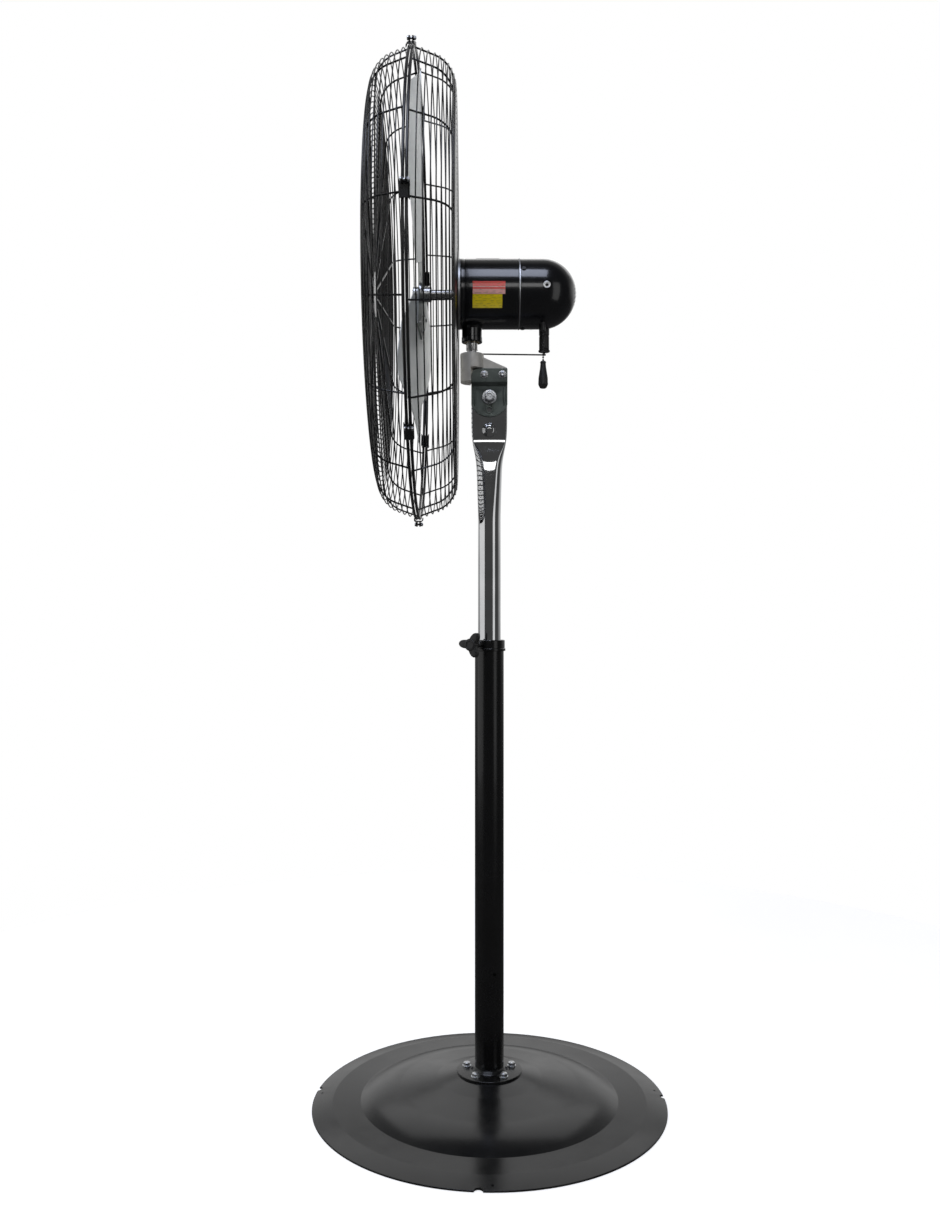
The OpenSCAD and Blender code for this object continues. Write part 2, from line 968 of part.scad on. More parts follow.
module front_ribs() { color("#1a1b1d") ribs(-1, 26, rib_turn + 1); }

// Plain pressed disc at the centre of the front half, with a washer behind that grips the ribs
module guard_badge() {
  x = rim_x - front_depth - cone_rise - 2;
  color("#1a1b1d") {
    difference() {
      along_x(x, 3.75, 84);
      along_x(x + 1.4, 5, 80);
    }
    along_x(x + 1, 6, 16);
    along_x(x + 6.2, 1.2, 76);
  }
}

// Folded clips over the two rims, each with two ears for the screw that pinches it
module guard_clips() {
  color("#141414")
  at_clips()
    difference() {
      union() {
        translate([rim_x - 8, -clip_half, guard_r - 0.5])
          cube([16, 2 * clip_half, 7]);
        for (x = [-4.2, 1.2])
          translate([rim_x + x, clip_half - 8, guard_r + 6])
            cube([3, 8, 8.4]);
      }
      translate([rim_x - 6.2, -clip_half - 1, guard_r - 2])
        cube([12.4, 2 * clip_half + 2, 4.7]);
      translate([rim_x - 10, clip_half - 4, guard_r + 10.4])
        rotate([0, 90, 0])
          cylinder(d = 4.04, h = 20, $fn = 24);
    }
}

module at_clips() {
  for (i = [0 : clip_count - 1])
    translate([0, 0, axis_z])
      rotate([90 - clip_turn - i * 360 / clip_count, 0, 0])
        children();
}

// Screw and nut through the ears of a clip
module clip_screws() {
  color("#c3c6ca")
  at_clips()
    translate([rim_x, clip_half - 4, guard_r + 10.4])
      rotate([0, 90, 0]) {
        translate([0, 0, -7])
          cylinder(d = 4, h = 15, $fn = 24);
        translate([0, 0, -7.3])
          cylinder(d = 7, h = 3, $fn = 24);
        translate([0, 0, 4.3])
          cylinder(d = 7.4, h = 3.2, $fn = 6);
      }
}

// ---------- Rotor ----------

module motor_shaft() {
  color("#c3c6ca") {
    along_x(rotor_tip_x, 62 - rotor_tip_x, shaft_d);
    along_x(61, 45, shaft6);
  }
}

module rotor_core() {
  color("#8d8f92")
  difference() {
    along_x(-20, 50, 64);
    along_x(-21, 52, shaft_d + 0.02);
  }
}

// Smooth cylinder that stands for the threads of the worm
module worm() {
  color("#b08d3e")
  difference() {
    along_x(crank_x - 9, 18, 10);
    along_x(crank_x - 10, 20, shaft6 + 0.02);
  }
}

module blade_hub() {
  color("#b9bcc0")
  difference() {
    union() {
      along_x(rotor_tip_x + 1, 32, 26);
      along_x(rotor_tip_x + 11, 5, 40);
    }
    along_x(rotor_tip_x, 40, shaft_d + 0.02);
    translate([hub_x - 6, 0, axis_z])
      cylinder(d = 5, h = 20, $fn = 24);
  }
}

// Cambered sheet through the chord of a blade, span along Z
module camber(gap, thick) {
  r = blade_chord * blade_chord / 8 / blade_sag + blade_sag / 2;
  centre = [-(r - blade_sag) * cos(blade_pitch), -(r - blade_sag) * sin(blade_pitch)];
  translate([blade_mid_x + centre[0], centre[1], 0])
    difference() {
      cylinder(r = r + gap + thick, h = blade_r + 5, $fn = 240);
      translate([0, 0, -1])
        cylinder(r = r + gap, h = blade_r + 8, $fn = 240);
    }
}

module blade_outline() {
  half_root = 34;
  half_tip = 66;
  corner = 30;
  polygon([
    [-half_root, root_r], [half_root, root_r], [half_tip, blade_r * 0.55],
    for (a = [0 : 15 : 90]) [half_tip + 6 - corner + corner * cos(a), blade_r - 8 - corner + corner * sin(a)],
    for (a = [90 : 15 : 180]) [-half_tip - 6 + corner + corner * cos(a), blade_r - 8 - corner + corner * sin(a)],
    [-half_tip, blade_r * 0.55]
  ]);
}

module at_blades() {
  for (turn = blade_turns)
    translate([0, 0, axis_z])
      rotate([90 - turn, 0, 0])
        children();
}

module blades() {
  color("#c9cdc8")
  at_blades()
    intersection() {
      camber(0, blade_t);
      translate([rim_x - 80, 0, 0])
        rotate([90, 0, 90])
          linear_extrude(160)
            blade_outline();
    }
}

// Steel arms behind the blades, bent to the same curve
module blade_arms() {
  color("#aeb2b0")
  difference() {
    at_blades()
      intersection() {
        camber(blade_t + 0.2, 3);
        translate([rim_x - 80, 0, 0])
          rotate([90, 0, 90])
            linear_extrude(160)
              polygon([[-20, 10], [20, 10], [16, 120], [-16, 120]]);
      }
    along_x(rotor_tip_x - 1, 60, 26.02);
  }
}

module blade_rivets() {
  color("#c9ccd0")
  at_blades()
    for (p = [[0, 70], [-9, 105], [9, 105]])
      rivet(p[0], p[1]);
}

// Rivet head on the rear of an arm
module rivet(t, r) {
  rad = blade_chord * blade_chord / 8 / blade_sag + blade_sag / 2;
  depth = rad + blade_t + 3.2;
  centre_x = blade_mid_x - (rad - blade_sag) * cos(blade_pitch);
  centre_t = -(rad - blade_sag) * sin(blade_pitch);
  slope = asin((t - centre_t) / depth);
  translate([centre_x, centre_t, r])
    rotate([0, 90, slope])
      translate([0, 0, depth + 0.05])
        cylinder(d1 = 8, d2 = 5, h = 2, $fn = 24);
}

// ---------- Oscillation ----------

// Worm wheel, output shaft, crank disc and its pin
module crank() {
  color("#1f1f1f")
  translate([crank_x, crank_y, 0]) {
    translate([0, 0, axis_z - 6])
      cylinder(d = 17.2, h = 12, $fn = 48);
    translate([0, 0, link_z + 3.5])
      cylinder(d = shaft6, h = axis_z - link_z - 3.5, $fn = 32);
    translate([0, 0, link_z + 3.2])
      cylinder(d = 20, h = 3, $fn = 48);
    translate([0, crank_throw, link_z + 1.9])
      cylinder(d = 5, h = 2, $fn = 32);
  }
}

// Wire link: an eye at each end
module link_rod() {
  wire = 2.6;
  far_x = crank_x;
  far_y = crank_y + crank_throw;
  turn = atan2(far_y - crank_y, far_x - spindle_x);
  length = (far_x - spindle_x) / cos(turn);
  color("#101010")
  translate([spindle_x, crank_y, link_z])
    rotate([0, 0, turn]) {
      difference() {
        union() {
          cylinder(d = 7, h = 1.8, center = true, $fn = 32);
          translate([length, 0, 0])
            cylinder(d = 7, h = 1.8, center = true, $fn = 32);
          translate([3, 0, 0])
            rotate([0, 90, 0])
              cylinder(d = wire, h = length - 6, $fn = 16);
        }
        cylinder(d = anchor_pin_d + 2 * run_gap, h = 8, center = true, $fn = 24);
        translate([length, 0, 0])
          cylinder(d = 4, h = 8, center = true, $fn = 24);
      }
    }
}

// Ball chain and its tapered pull
module pull_chain() {
  knob_low = 1232;
  color("#161616")
  translate([chain_x, chain_y, knob_low]) {
    translate([0, 0, 44])
      cylinder(d = 1.6, h = 64, $fn = 16);
    for (i = [0 : 11])
      translate([0, 0, 51 + i * 5])
        sphere(d = 3.4, $fn = 20);
    translate([0, 0, 8])
      cylinder(d1 = 17.2, d2 = 9, h = 39, $fn = 40);
    cylinder(d1 = 12, d2 = 17.2, h = 8, $fn = 40);
  }
}

base_pan();
base_ballast();
pole_flange();
flange_bolts();
flange_nuts();
lower_pole();
pole_collar();
guide_bush();
clamp_screw();
clamp_knob();
sliding_tube();
tube_foot();
tube_bolt();
tube_nut();
tilt_plate_near();
tilt_plate_far();
tilt_bolt();
tilt_nut();
bracket_screws();
swivel_arm();
spindle();
link_anchor();
swivel_neck();
spindle_bush();
motor_drum();
front_end_plate();
rear_end_plate();
rear_cover();
cover_screws();
stator_core();
stator_windings();
through_bolts();
bearings();
capacitor();
gearbox();
pull_switch();
cord_gland();
side_plug();
labels();
guard_plate();
guard_plate_screws();
rear_rings();
rear_side_rings();
rear_ribs();
front_rings();
front_side_rings();
front_ribs();
guard_badge();
guard_clips();
clip_screws();
motor_shaft();
rotor_core();
worm();
blade_hub();
blade_arms();
blades();
blade_rivets();
crank();
link_rod();
pull_chain();
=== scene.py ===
import math
import bpy
from mathutils import Matrix, Vector


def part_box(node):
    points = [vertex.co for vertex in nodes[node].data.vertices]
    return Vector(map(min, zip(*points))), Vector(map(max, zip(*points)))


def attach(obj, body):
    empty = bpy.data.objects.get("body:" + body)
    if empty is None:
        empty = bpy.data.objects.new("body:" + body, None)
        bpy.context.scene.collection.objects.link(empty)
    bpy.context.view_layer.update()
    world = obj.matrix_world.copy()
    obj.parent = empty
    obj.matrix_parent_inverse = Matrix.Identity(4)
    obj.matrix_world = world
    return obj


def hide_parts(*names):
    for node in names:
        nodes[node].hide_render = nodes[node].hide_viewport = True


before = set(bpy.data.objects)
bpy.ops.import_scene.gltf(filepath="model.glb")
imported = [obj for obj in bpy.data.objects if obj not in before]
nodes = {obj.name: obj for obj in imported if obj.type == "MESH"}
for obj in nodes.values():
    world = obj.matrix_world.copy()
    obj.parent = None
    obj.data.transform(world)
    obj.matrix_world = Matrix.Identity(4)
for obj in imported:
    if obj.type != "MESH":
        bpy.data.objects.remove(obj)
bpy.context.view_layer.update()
scene = bpy.context.scene

# ---- Camera ----
# The eye stands level with the clamp collar, a little to the outlet side of the pole,
# and about two metres off, so that the base is seen from above and the guard edge-on.
eye_back = 1.94
eye_side = -0.0335
eye_height = 0.856
camera_data = bpy.data.cameras.new("camera")
camera_data.sensor_width = 36.0
camera_data.lens = 33.13
camera = bpy.data.objects.new("camera", camera_data)
camera.location = (eye_side, -eye_back, eye_height)
camera.rotation_euler = (math.radians(90), 0, 0)
scene.collection.objects.link(camera)
scene.camera = camera


# ---- Base pan ----
# The base is one disc of sheet steel, pressed into a low dome with a flat trough and a
# stepped rim, then powder coated charcoal. Its rim edge stands on the floor all round.
# Each piece starts from one drawn section, spun about its own axis.
def deselect():
    if bpy.context.object and bpy.context.object.mode == "EDIT":
        bpy.ops.object.mode_set(mode="OBJECT")
    bpy.ops.object.select_all(action="DESELECT")


def rounded(points, steps=5):
    """An outline whose corners are arcs: each point is (x, y) or (x, y, corner radius)."""
    outline = []
    count = len(points)
    for i, point in enumerate(points):
        here = Vector(point[:2])
        radius = point[2] if len(point) > 2 else 0.0
        if radius == 0.0 or i in (0, count - 1):
            outline.append(here)
            continue
        back = (Vector(points[i - 1][:2]) - here).normalized()
        ahead = (Vector(points[i + 1][:2]) - here).normalized()
        half = back.angle(ahead) / 2
        if half > math.radians(89.5):
            outline.append(here)
            continue
        reach = radius / math.tan(half)
        centre = here + (back + ahead).normalized() * (radius / math.sin(half))
        start = here + back * reach - centre
        turn = start.angle_signed(here + ahead * reach - centre)
        for k in range(steps + 1):
            spoke = start.copy()
            spoke.rotate(Matrix.Rotation(-turn * k / steps, 2))
            outline.append(centre + spoke)
    return outline


def draw(name, places):
    """A new piece in edit mode, holding one line drawn through the places."""
    deselect()
    bpy.ops.mesh.primitive_plane_add(size=0.001, location=(0, 0, 0))
    piece = bpy.context.object
    piece.name = name
    bpy.ops.object.mode_set(mode="EDIT")
    bpy.ops.mesh.select_all(action="SELECT")
    bpy.ops.mesh.merge(type="CENTER")
    bpy.ops.transform.translate(value=places[0])
    for here, there in zip(places, places[1:]):
        bpy.ops.mesh.extrude_region_move(TRANSFORM_OT_translate={"value": there - here})
    return piece


def close_up(smooth=35):
    """Merges doubles, turns all faces outwards, leaves edit mode and smooths by angle."""
    bpy.ops.mesh.select_all(action="SELECT")
    bpy.ops.mesh.remove_doubles(threshold=0.00002)
    bpy.ops.mesh.normals_make_consistent(inside=False)
    bpy.ops.object.mode_set(mode="OBJECT")
    bpy.ops.object.shade_smooth_by_angle(angle=math.radians(smooth))


def turned(name, outline, steps=96, centre=(0, 0, 0), along="Z", smooth=35):
    """A turned piece: outline points are (radius, distance along the axis)."""
    middle = Vector(centre)
    axis = {"X": Vector((1, 0, 0)), "Y": Vector((0, 1, 0)), "Z": Vector((0, 0, 1))}[along]
    spoke = Vector((0, 0, 1)) if along != "Z" else Vector((1, 0, 0))
    places = [middle + spoke * p[0] + axis * p[1] for p in outline]
    piece = draw(name, places)
    bpy.ops.mesh.select_all(action="SELECT")
    bpy.ops.mesh.spin(steps=steps, angle=math.tau, center=middle, axis=axis)
    close_up(smooth)
    return piece


pan_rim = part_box("base_pan")[1].x
pan_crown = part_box("base_pan")[1].z
sheet = 0.0025


def swell(start, pull, end, steps=8):
    """Points on a smooth curve from start to end, drawn towards pull."""
    places = []
    for k in range(1, steps):
        t = k / steps
        places.append(
            (
                start[0] * (1 - t) ** 2 + 2 * pull[0] * t * (1 - t) + end[0] * t**2,
                start[1] * (1 - t) ** 2 + 2 * pull[1] * t * (1 - t) + end[1] * t**2,
            )
        )
    return places


dome_foot = (0.222, 0.010)
dome_shoulder = (0.153, 0.0325)
pan_top = [
    (pan_rim, 0.0),
    (pan_rim, sheet, 0.0012),
    (0.270, 0.009, 0.004),
    (*dome_foot, 0.0015),
    *swell(dome_foot, (0.190, 0.0285), dome_shoulder),
    (*dome_shoulder, 0.004),
    (0.091, 0.0435, 0.006),
    (0.0565, pan_crown, 0.002),
    (0.012, pan_crown, 0.001),
]
pan_under = [
    (0.012, pan_crown - sheet, 0.001),
    (0.0565, pan_crown - sheet),
    (0.091, 0.041),
    (dome_shoulder[0], dome_shoulder[1] - sheet),
    (dome_foot[0], dome_foot[1] - sheet),
    (0.270, 0.0065),
    (pan_rim - 0.012, 0.0),
    (pan_rim, 0.0),
]
base_pan = turned("base_pan_pressed", rounded(pan_top + pan_under), steps=180, smooth=12)


def cut(piece, tools):
    """Cuts the tools out of a piece and takes them away."""
    for tool in tools:
        modifier = piece.modifiers.new("cut", "BOOLEAN")
        modifier.operation = "DIFFERENCE"
        modifier.solver = "EXACT"
        modifier.object = tool
        deselect()
        bpy.context.view_layer.objects.active = piece
        piece.select_set(True)
        bpy.ops.object.modifier_apply(modifier=modifier.name)
        bpy.data.objects.remove(tool)


def drill(radius, depth, place, along="Z", sides=32):
    """A cylinder to cut with, centred on a place."""
    deselect()
    turn = {"X": (0, math.radians(90), 0), "Y": (math.radians(90), 0, 0), "Z": (0, 0, 0)}[along]
    bpy.ops.mesh.primitive_cylinder_add(
        vertices=sides, radius=radius, depth=depth, location=place, rotation=turn
    )
    return bpy.context.object


def round_point(radius, turn, height=0.0):
    angle = math.radians(turn)
    return (radius * math.cos(angle), radius * math.sin(angle), height)


notch_turns = (2, 86, 172, 266)
cut(base_pan, [drill(0.007, 0.03, round_point(pan_rim, turn)) for turn in notch_turns])
cut(base_pan, [drill(0.002, 0.03, round_point(pan_rim - 0.012, turn + 4), sides=16) for turn in notch_turns])
bpy.ops.object.shade_smooth_by_angle(angle=math.radians(12))


def material(name):
    """A new material with its node tree, shader and object coordinates."""
    made = bpy.data.materials.new(name)
    made.use_nodes = True
    tree = made.node_tree
    shader = tree.nodes["Principled BSDF"]
    place = tree.nodes.new("ShaderNodeTexCoord")
    return made, tree, shader, place.outputs["Object"]


def noise(tree, place, scale, detail=3.0, stretch=(1, 1, 1)):
    """Noise on object coordinates, in lumps per metre, drawn out along an axis if asked."""
    spread = tree.nodes.new("ShaderNodeMapping")
    spread.inputs["Scale"].default_value = stretch
    tree.links.new(place, spread.inputs["Vector"])
    made = tree.nodes.new("ShaderNodeTexNoise")
    made.inputs["Scale"].default_value = scale
    made.inputs["Detail"].default_value = detail
    tree.links.new(spread.outputs["Vector"], made.inputs["Vector"])
    return made.outputs["Fac"]


def spread_between(tree, source, low, high, start=0.3, end=0.7):
    """Maps a grey value to a range of numbers."""
    made = tree.nodes.new("ShaderNodeMapRange")
    for socket, value in zip(("From Min", "From Max", "To Min", "To Max"), (start, end, low, high)):
        made.inputs[socket].default_value = value
    tree.links.new(source, made.inputs["Value"])
    return made.outputs["Result"]


def tint(tree, source, dark, light, start=0.3, end=0.7):
    """Maps a grey value to a run of colour."""
    made = tree.nodes.new("ShaderNodeValToRGB")
    made.color_ramp.elements[0].position = start
    made.color_ramp.elements[1].position = end
    made.color_ramp.elements[0].color = (*dark, 1)
    made.color_ramp.elements[1].color = (*light, 1)
    tree.links.new(source, made.inputs["Fac"])
    return made.outputs["Color"]


def relief(tree, shader, source, height, strength=1.0):
    """Bumps the surface by a height in metres."""
    made = tree.nodes.new("ShaderNodeBump")
    made.inputs["Strength"].default_value = strength
    made.inputs["Distance"].default_value = height
    tree.links.new(source, made.inputs["Height"])
    tree.links.new(made.outputs["Normal"], shader.inputs["Normal"])


def powder_coat(name, dark, light, dull, bright, grain=900, height=0.00002):
    """Baked powder coat: a fine orange peel, with faint patches in its colour and gloss."""
    made, tree, shader, place = material(name)
    tree.links.new(tint(tree, noise(tree, place, 14, 5), dark, light), shader.inputs["Base Color"])
    tree.links.new(spread_between(tree, noise(tree, place, 30, 6), bright, dull), shader.inputs["Roughness"])
    relief(tree, shader, noise(tree, place, grain, 2), height)
    return made


base_paint = powder_coat("charcoal_powder_coat", (0.0045, 0.0047, 0.005), (0.0065, 0.0067, 0.007), 0.24, 0.17)
base_pan.data.materials.append(base_paint)
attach(base_pan, "stand")
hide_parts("base_pan")


# ---- Ballast ring ----
# A plain grey-iron ring, sand cast and left raw, that lies under the pan and follows its
# curve. The flange bolts pass through it to their nuts.
def coat(name, made):
    """Gives a CAD node a material all over."""
    for place in nodes[name].material_slots:
        place.material = made


def cast_skin(name, dark, light, dull=0.75, bright=0.5, metal=1.0, height=0.0002):
    """A cast surface: sandy grain with duller hollows."""
    made, tree, shader, place = material(name)
    shader.inputs["Metallic"].default_value = metal
    tree.links.new(tint(tree, noise(tree, place, 60, 6), dark, light), shader.inputs["Base Color"])
    tree.links.new(spread_between(tree, noise(tree, place, 200, 5), bright, dull), shader.inputs["Roughness"])
    relief(tree, shader, noise(tree, place, 800, 6), height)
    return made


coat("base_ballast", cast_skin("grey_iron", (0.05, 0.048, 0.046), (0.12, 0.115, 0.11), 0.9, 0.7, 0.6))


# ---- Pole flange and its bolts ----
# A turned steel flange is welded round the foot of the pole and painted with it. Five
# zinc-plated hexagon bolts with washers hold it down through the pan and the ballast.
flange_top = pan_crown + 0.004
pole_radius = 0.025
flange = turned(
    "pole_flange_turned",
    rounded(
        [
            (pole_radius, pan_crown),
            (0.0565, pan_crown),
            (0.0565, flange_top, 0.0012),
            (0.031, flange_top, 0.003),
            (0.0275, flange_top + 0.0045, 0.002),
            (pole_radius, flange_top + 0.006),
            (pole_radius, pan_crown),
        ]
    ),
)


def gloss_paint(name, dark, light, dull, bright, coat_level=0.6, grain=260, height=0.00001):
    """Wet-sprayed enamel: a clear, glossy skin with a slow ripple and faint dust."""
    made = powder_coat(name, dark, light, dull, bright, grain, height)
    shader = made.node_tree.nodes["Principled BSDF"]
    shader.inputs["Coat Weight"].default_value = coat_level
    shader.inputs["Coat Roughness"].default_value = 0.06
    return made


pole_paint = gloss_paint(
    "black_pole_enamel", (0.0025, 0.0025, 0.0026), (0.004, 0.004, 0.0042), 0.3, 0.22, 0.2
)
flange.data.materials.append(pole_paint)
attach(flange, "stand")
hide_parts("pole_flange")


def settle(piece):
    """Puts the piece's place, turn and size into its mesh."""
    deselect()
    bpy.context.view_layer.objects.active = piece
    piece.select_set(True)
    bpy.ops.object.transform_apply(location=True, rotation=True, scale=True)


def bevel(piece, width, segments=2, angle=40):
    """Rounds the sharp edges of a piece and settles it."""
    settle(piece)
    modifier = piece.modifiers.new("edges", "BEVEL")
    modifier.width = width
    modifier.segments = segments
    modifier.limit_method = "ANGLE"
    modifier.angle_limit = math.radians(angle)
    bpy.ops.object.modifier_apply(modifier=modifier.name)
    bpy.ops.object.shade_smooth_by_angle(angle=math.radians(35))


def joined(name, pieces):
    """Joins pieces into the first of them."""
    deselect()
    for piece in pieces:
        piece.select_set(True)
    bpy.context.view_layer.objects.active = pieces[0]
    bpy.ops.object.join()
    pieces[0].name = name
    return pieces[0]


def swing(piece, degrees, along, about):
    """Turns a piece the right-hand way about an axis through a point."""
    settle(piece)
    bpy.ops.transform.rotate(
        value=-math.radians(degrees), orient_axis=along, orient_type="GLOBAL", center_override=about
    )
    settle(piece)


def repeated(name, piece, turns, along, about=(0, 0, 0)):
    """Copies a piece to each turn about an axis, then joins the copies."""
    copies = []
    for turn in turns:
        deselect()
        piece.select_set(True)
        bpy.context.view_layer.objects.active = piece
        bpy.ops.object.duplicate(linked=False)
        copy = bpy.context.object
        swing(copy, turn, along, about)
        copies.append(copy)
    bpy.data.objects.remove(piece)
    return joined(name, copies)


def hexagon(across, height, place, along="Z", soft=0.0006):
    """A hexagon head or nut, with its edges eased; across is from corner to corner."""
    deselect()
    turn = {"X": (0, math.radians(90), 0), "Y": (math.radians(90), 0, 0), "Z": (0, 0, 0)}[along]
    bpy.ops.mesh.primitive_cylinder_add(
        vertices=6, radius=across / 2, depth=height, location=place, rotation=turn
    )
    piece = bpy.context.object
    bevel(piece, soft, 3)
    return piece


bolt_circle = 0.041
washer = turned(
    "flange_washer",
    rounded(
        [
            (0.003, flange_top),
            (0.0078, flange_top),
            (0.0078, flange_top + 0.0016, 0.0006),
            (0.003, flange_top + 0.0016),
        ]
    ),
    steps=32,
    centre=(bolt_circle, 0, 0),
)
head = hexagon(0.013, 0.005, (bolt_circle, 0, flange_top + 0.0039))
crown = turned(
    "bolt_crown",
    rounded(
        [
            (0.0052, flange_top + 0.006),
            (0.0044, flange_top + 0.0068, 0.0006),
            (0.0, flange_top + 0.0068),
        ]
    ),
    steps=24,
    centre=(bolt_circle, 0, 0),
)
bolt_turns = [90 + 72 * k for k in range(5)]
flange_bolts = repeated("flange_bolt_set", joined("flange_bolt", [washer, head, crown]), bolt_turns, "Z")


def bright_metal(name, dark, light, dull, bright, stretch=(1, 1, 1), scale=400, height=0.000004, metal=1.0):
    """Plated or machined metal: fine lay marks, and a gloss that varies in patches."""
    made, tree, shader, place = material(name)
    shader.inputs["Metallic"].default_value = metal
    tree.links.new(tint(tree, noise(tree, place, 40, 4), dark, light), shader.inputs["Base Color"])
    lay = noise(tree, place, scale, 4, stretch)
    tree.links.new(spread_between(tree, lay, bright, dull), shader.inputs["Roughness"])
    relief(tree, shader, noise(tree, place, scale * 2, 4, stretch), height)
    return made


zinc = bright_metal("bright_zinc_plate", (0.5, 0.52, 0.55), (0.68, 0.69, 0.7), 0.38, 0.2)
flange_bolts.data.materials.append(zinc)
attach(flange_bolts, "stand")
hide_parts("flange_bolts")
coat("flange_nuts", zinc)


# ---- Lower pole ----
# Two-inch welded steel tube, cut square at the top and enamelled black. A small dimple
# near the foot holds the stop that keeps the inner tube from dropping out.
pole_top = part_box("lower_pole")[1].z
dimple_height = 0.227
pole = turned(
    "lower_pole_tube",
    [
        (pole_radius, pan_crown + 0.0002),
        (pole_radius, dimple_height),
        (pole_radius, pole_top),
        (pole_radius - 0.0025, pole_top),
        (pole_radius - 0.0025, pan_crown + 0.0002),
        (pole_radius, pan_crown + 0.0002),
    ],
    steps=128,
)
cut(pole, [drill(0.0024, 0.006, (0.009, -pole_radius + 0.0018, dimple_height), "Y", 24)])
bpy.ops.object.shade_smooth_by_angle(angle=math.radians(35))
dimple = turned(
    "dimple_pin",
    rounded([(0.0024, -0.002), (0.0024, 0.0014), (0.0008, 0.0006, 0.0004), (0.0, 0.0006)]),
    steps=24,
    centre=(0.009, -pole_radius + 0.0015, dimple_height),
    along="Y",
)
pole = joined("lower_pole_tube", [pole, dimple])
pole.data.materials.append(pole_paint)
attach(pole, "stand")
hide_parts("lower_pole")


# ---- Pole collar and guide bush ----
# A turned steel collar is pressed over the pole's mouth, with a boss on one side tapped
# for the clamp screw. The nylon bush inside keeps the chrome tube central.
collar_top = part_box("pole_collar")[1].z
collar_low = pole_top - 0.004
collar = turned(
    "pole_collar_turned",
    rounded(
        [
            (0.0252, collar_low),
            (0.028, collar_low, 0.0008),
            (0.028, pole_top, 0.0008),
            (0.0268, pole_top + 0.0006, 0.0006),
            (0.0268, collar_top, 0.0016),
            (0.0201, collar_top, 0.0008),
            (0.0201, pole_top + 0.0001),
            (0.0252, pole_top + 0.0001),
            (0.0252, collar_low),
        ]
    ),
)
clamp_height = pole_top + 0.008
clamp_turn = -124
boss = turned(
    "collar_boss",
    rounded([(0.0041, 0.0232), (0.0041, 0.033), (0.0056, 0.033, 0.001), (0.0056, 0.0232), (0.0041, 0.0232)]),
    steps=32,
    centre=(0, 0, clamp_height),
    along="X",
)
swing(boss, clamp_turn, "Z", (0, 0, clamp_height))
collar = joined("pole_collar_turned", [collar, boss])
collar.data.materials.append(pole_paint)
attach(collar, "stand")
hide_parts("pole_collar")


def moulding(name, dark, light, dull=0.5, bright=0.36, grain=1400, height=0.00002, sheen=0.0):
    """Moulded plastic or rubber: a fine matt texture with rubbed, shinier patches."""
    made, tree, shader, place = material(name)
    tree.links.new(tint(tree, noise(tree, place, 25, 3), dark, light), shader.inputs["Base Color"])
    tree.links.new(spread_between(tree, noise(tree, place, 45, 5), bright, dull), shader.inputs["Roughness"])
    relief(tree, shader, noise(tree, place, grain, 2), height)
    if sheen:
        shader.inputs["Sheen Weight"].default_value = sheen
    return made


coat("guide_bush", moulding("natural_nylon", (0.62, 0.6, 0.53), (0.74, 0.71, 0.64)))


# ---- Clamp knob and screw ----
# A moulded three-arm knob with a short shank, on a zinc-plated screw that bears on the
# inner tube through the collar. It holds the height of the fan.
knob_start = 0.042
knob_back = knob_start + 0.0085
deselect()
bpy.ops.mesh.primitive_cylinder_add(vertices=96, radius=0.02, depth=0.0105, location=(0, 0, 0))
knob_star = bpy.context.object
for vertex in knob_star.data.vertices:
    angle = math.atan2(vertex.co.y, vertex.co.x)
    lobe = (1 + math.cos(3 * (angle - math.radians(25)))) / 2
    reach = 0.0095 + 0.0138 * lobe**1.5
    vertex.co.x = reach * math.cos(angle)
    vertex.co.y = reach * math.sin(angle)
bevel(knob_star, 0.0022, 4, 60)
bpy.ops.transform.rotate(value=-math.radians(90), orient_axis="Y", center_override=(0, 0, 0))
bpy.ops.transform.translate(value=(knob_back + 0.0053, 0, clamp_height))
settle(knob_star)
knob_body = turned(
    "knob_body",
    rounded(
        [
            (0.0041, knob_start),
            (0.0078, knob_start, 0.0006),
            (0.0098, knob_back, 0.001),
            (0.0105, knob_back + 0.0118, 0.0018),
            (0.0062, knob_back + 0.0124, 0.0008),
            (0.0058, knob_back + 0.011, 0.0004),
            (0.0, knob_back + 0.011),
        ]
    ),
    steps=64,
    centre=(0, 0, clamp_height),
    along="X",
)
knob = joined("clamp_knob_moulding", [knob_star, knob_body])
swing(knob, clamp_turn, "Z", (0, 0, clamp_height))
knob_plastic = moulding("black_moulding", (0.012, 0.012, 0.012), (0.02, 0.02, 0.02))
knob.data.materials.append(knob_plastic)
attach(knob, "clamp")
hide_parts("clamp_knob")
coat("clamp_screw", zinc)


# ---- Chrome tube ----
# Inch-and-a-half steel tube, polished and chrome plated. Its top end is crushed flat in a
# press to go between the tilt plates, so it widens from round to a flat blade.
tube_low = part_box("sliding_tube")[0].z
tube_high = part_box("sliding_tube")[1].z
tube_round = 0.039
flat_width = 0.0625
flat_thickness = 0.005
tilt_height = 1.22


def ease(t):
    t = min(1.0, max(0.0, t))
    return t * t * (3 - 2 * t)


def tube_size(height):
    """Width and thickness of the tube at a height."""
    swollen = 0.004 * ease((height - 1.0) / 0.1)
    steep = 1 / (1 + math.exp((1.128 - height) / 0.012))
    width = min(flat_width, tube_round + swollen + (flat_width - tube_round - 0.004) * steep)
    thickness = max(flat_thickness, (math.pi * tube_round - 2 * width) / (math.pi - 2))
    return width, min(width, thickness)


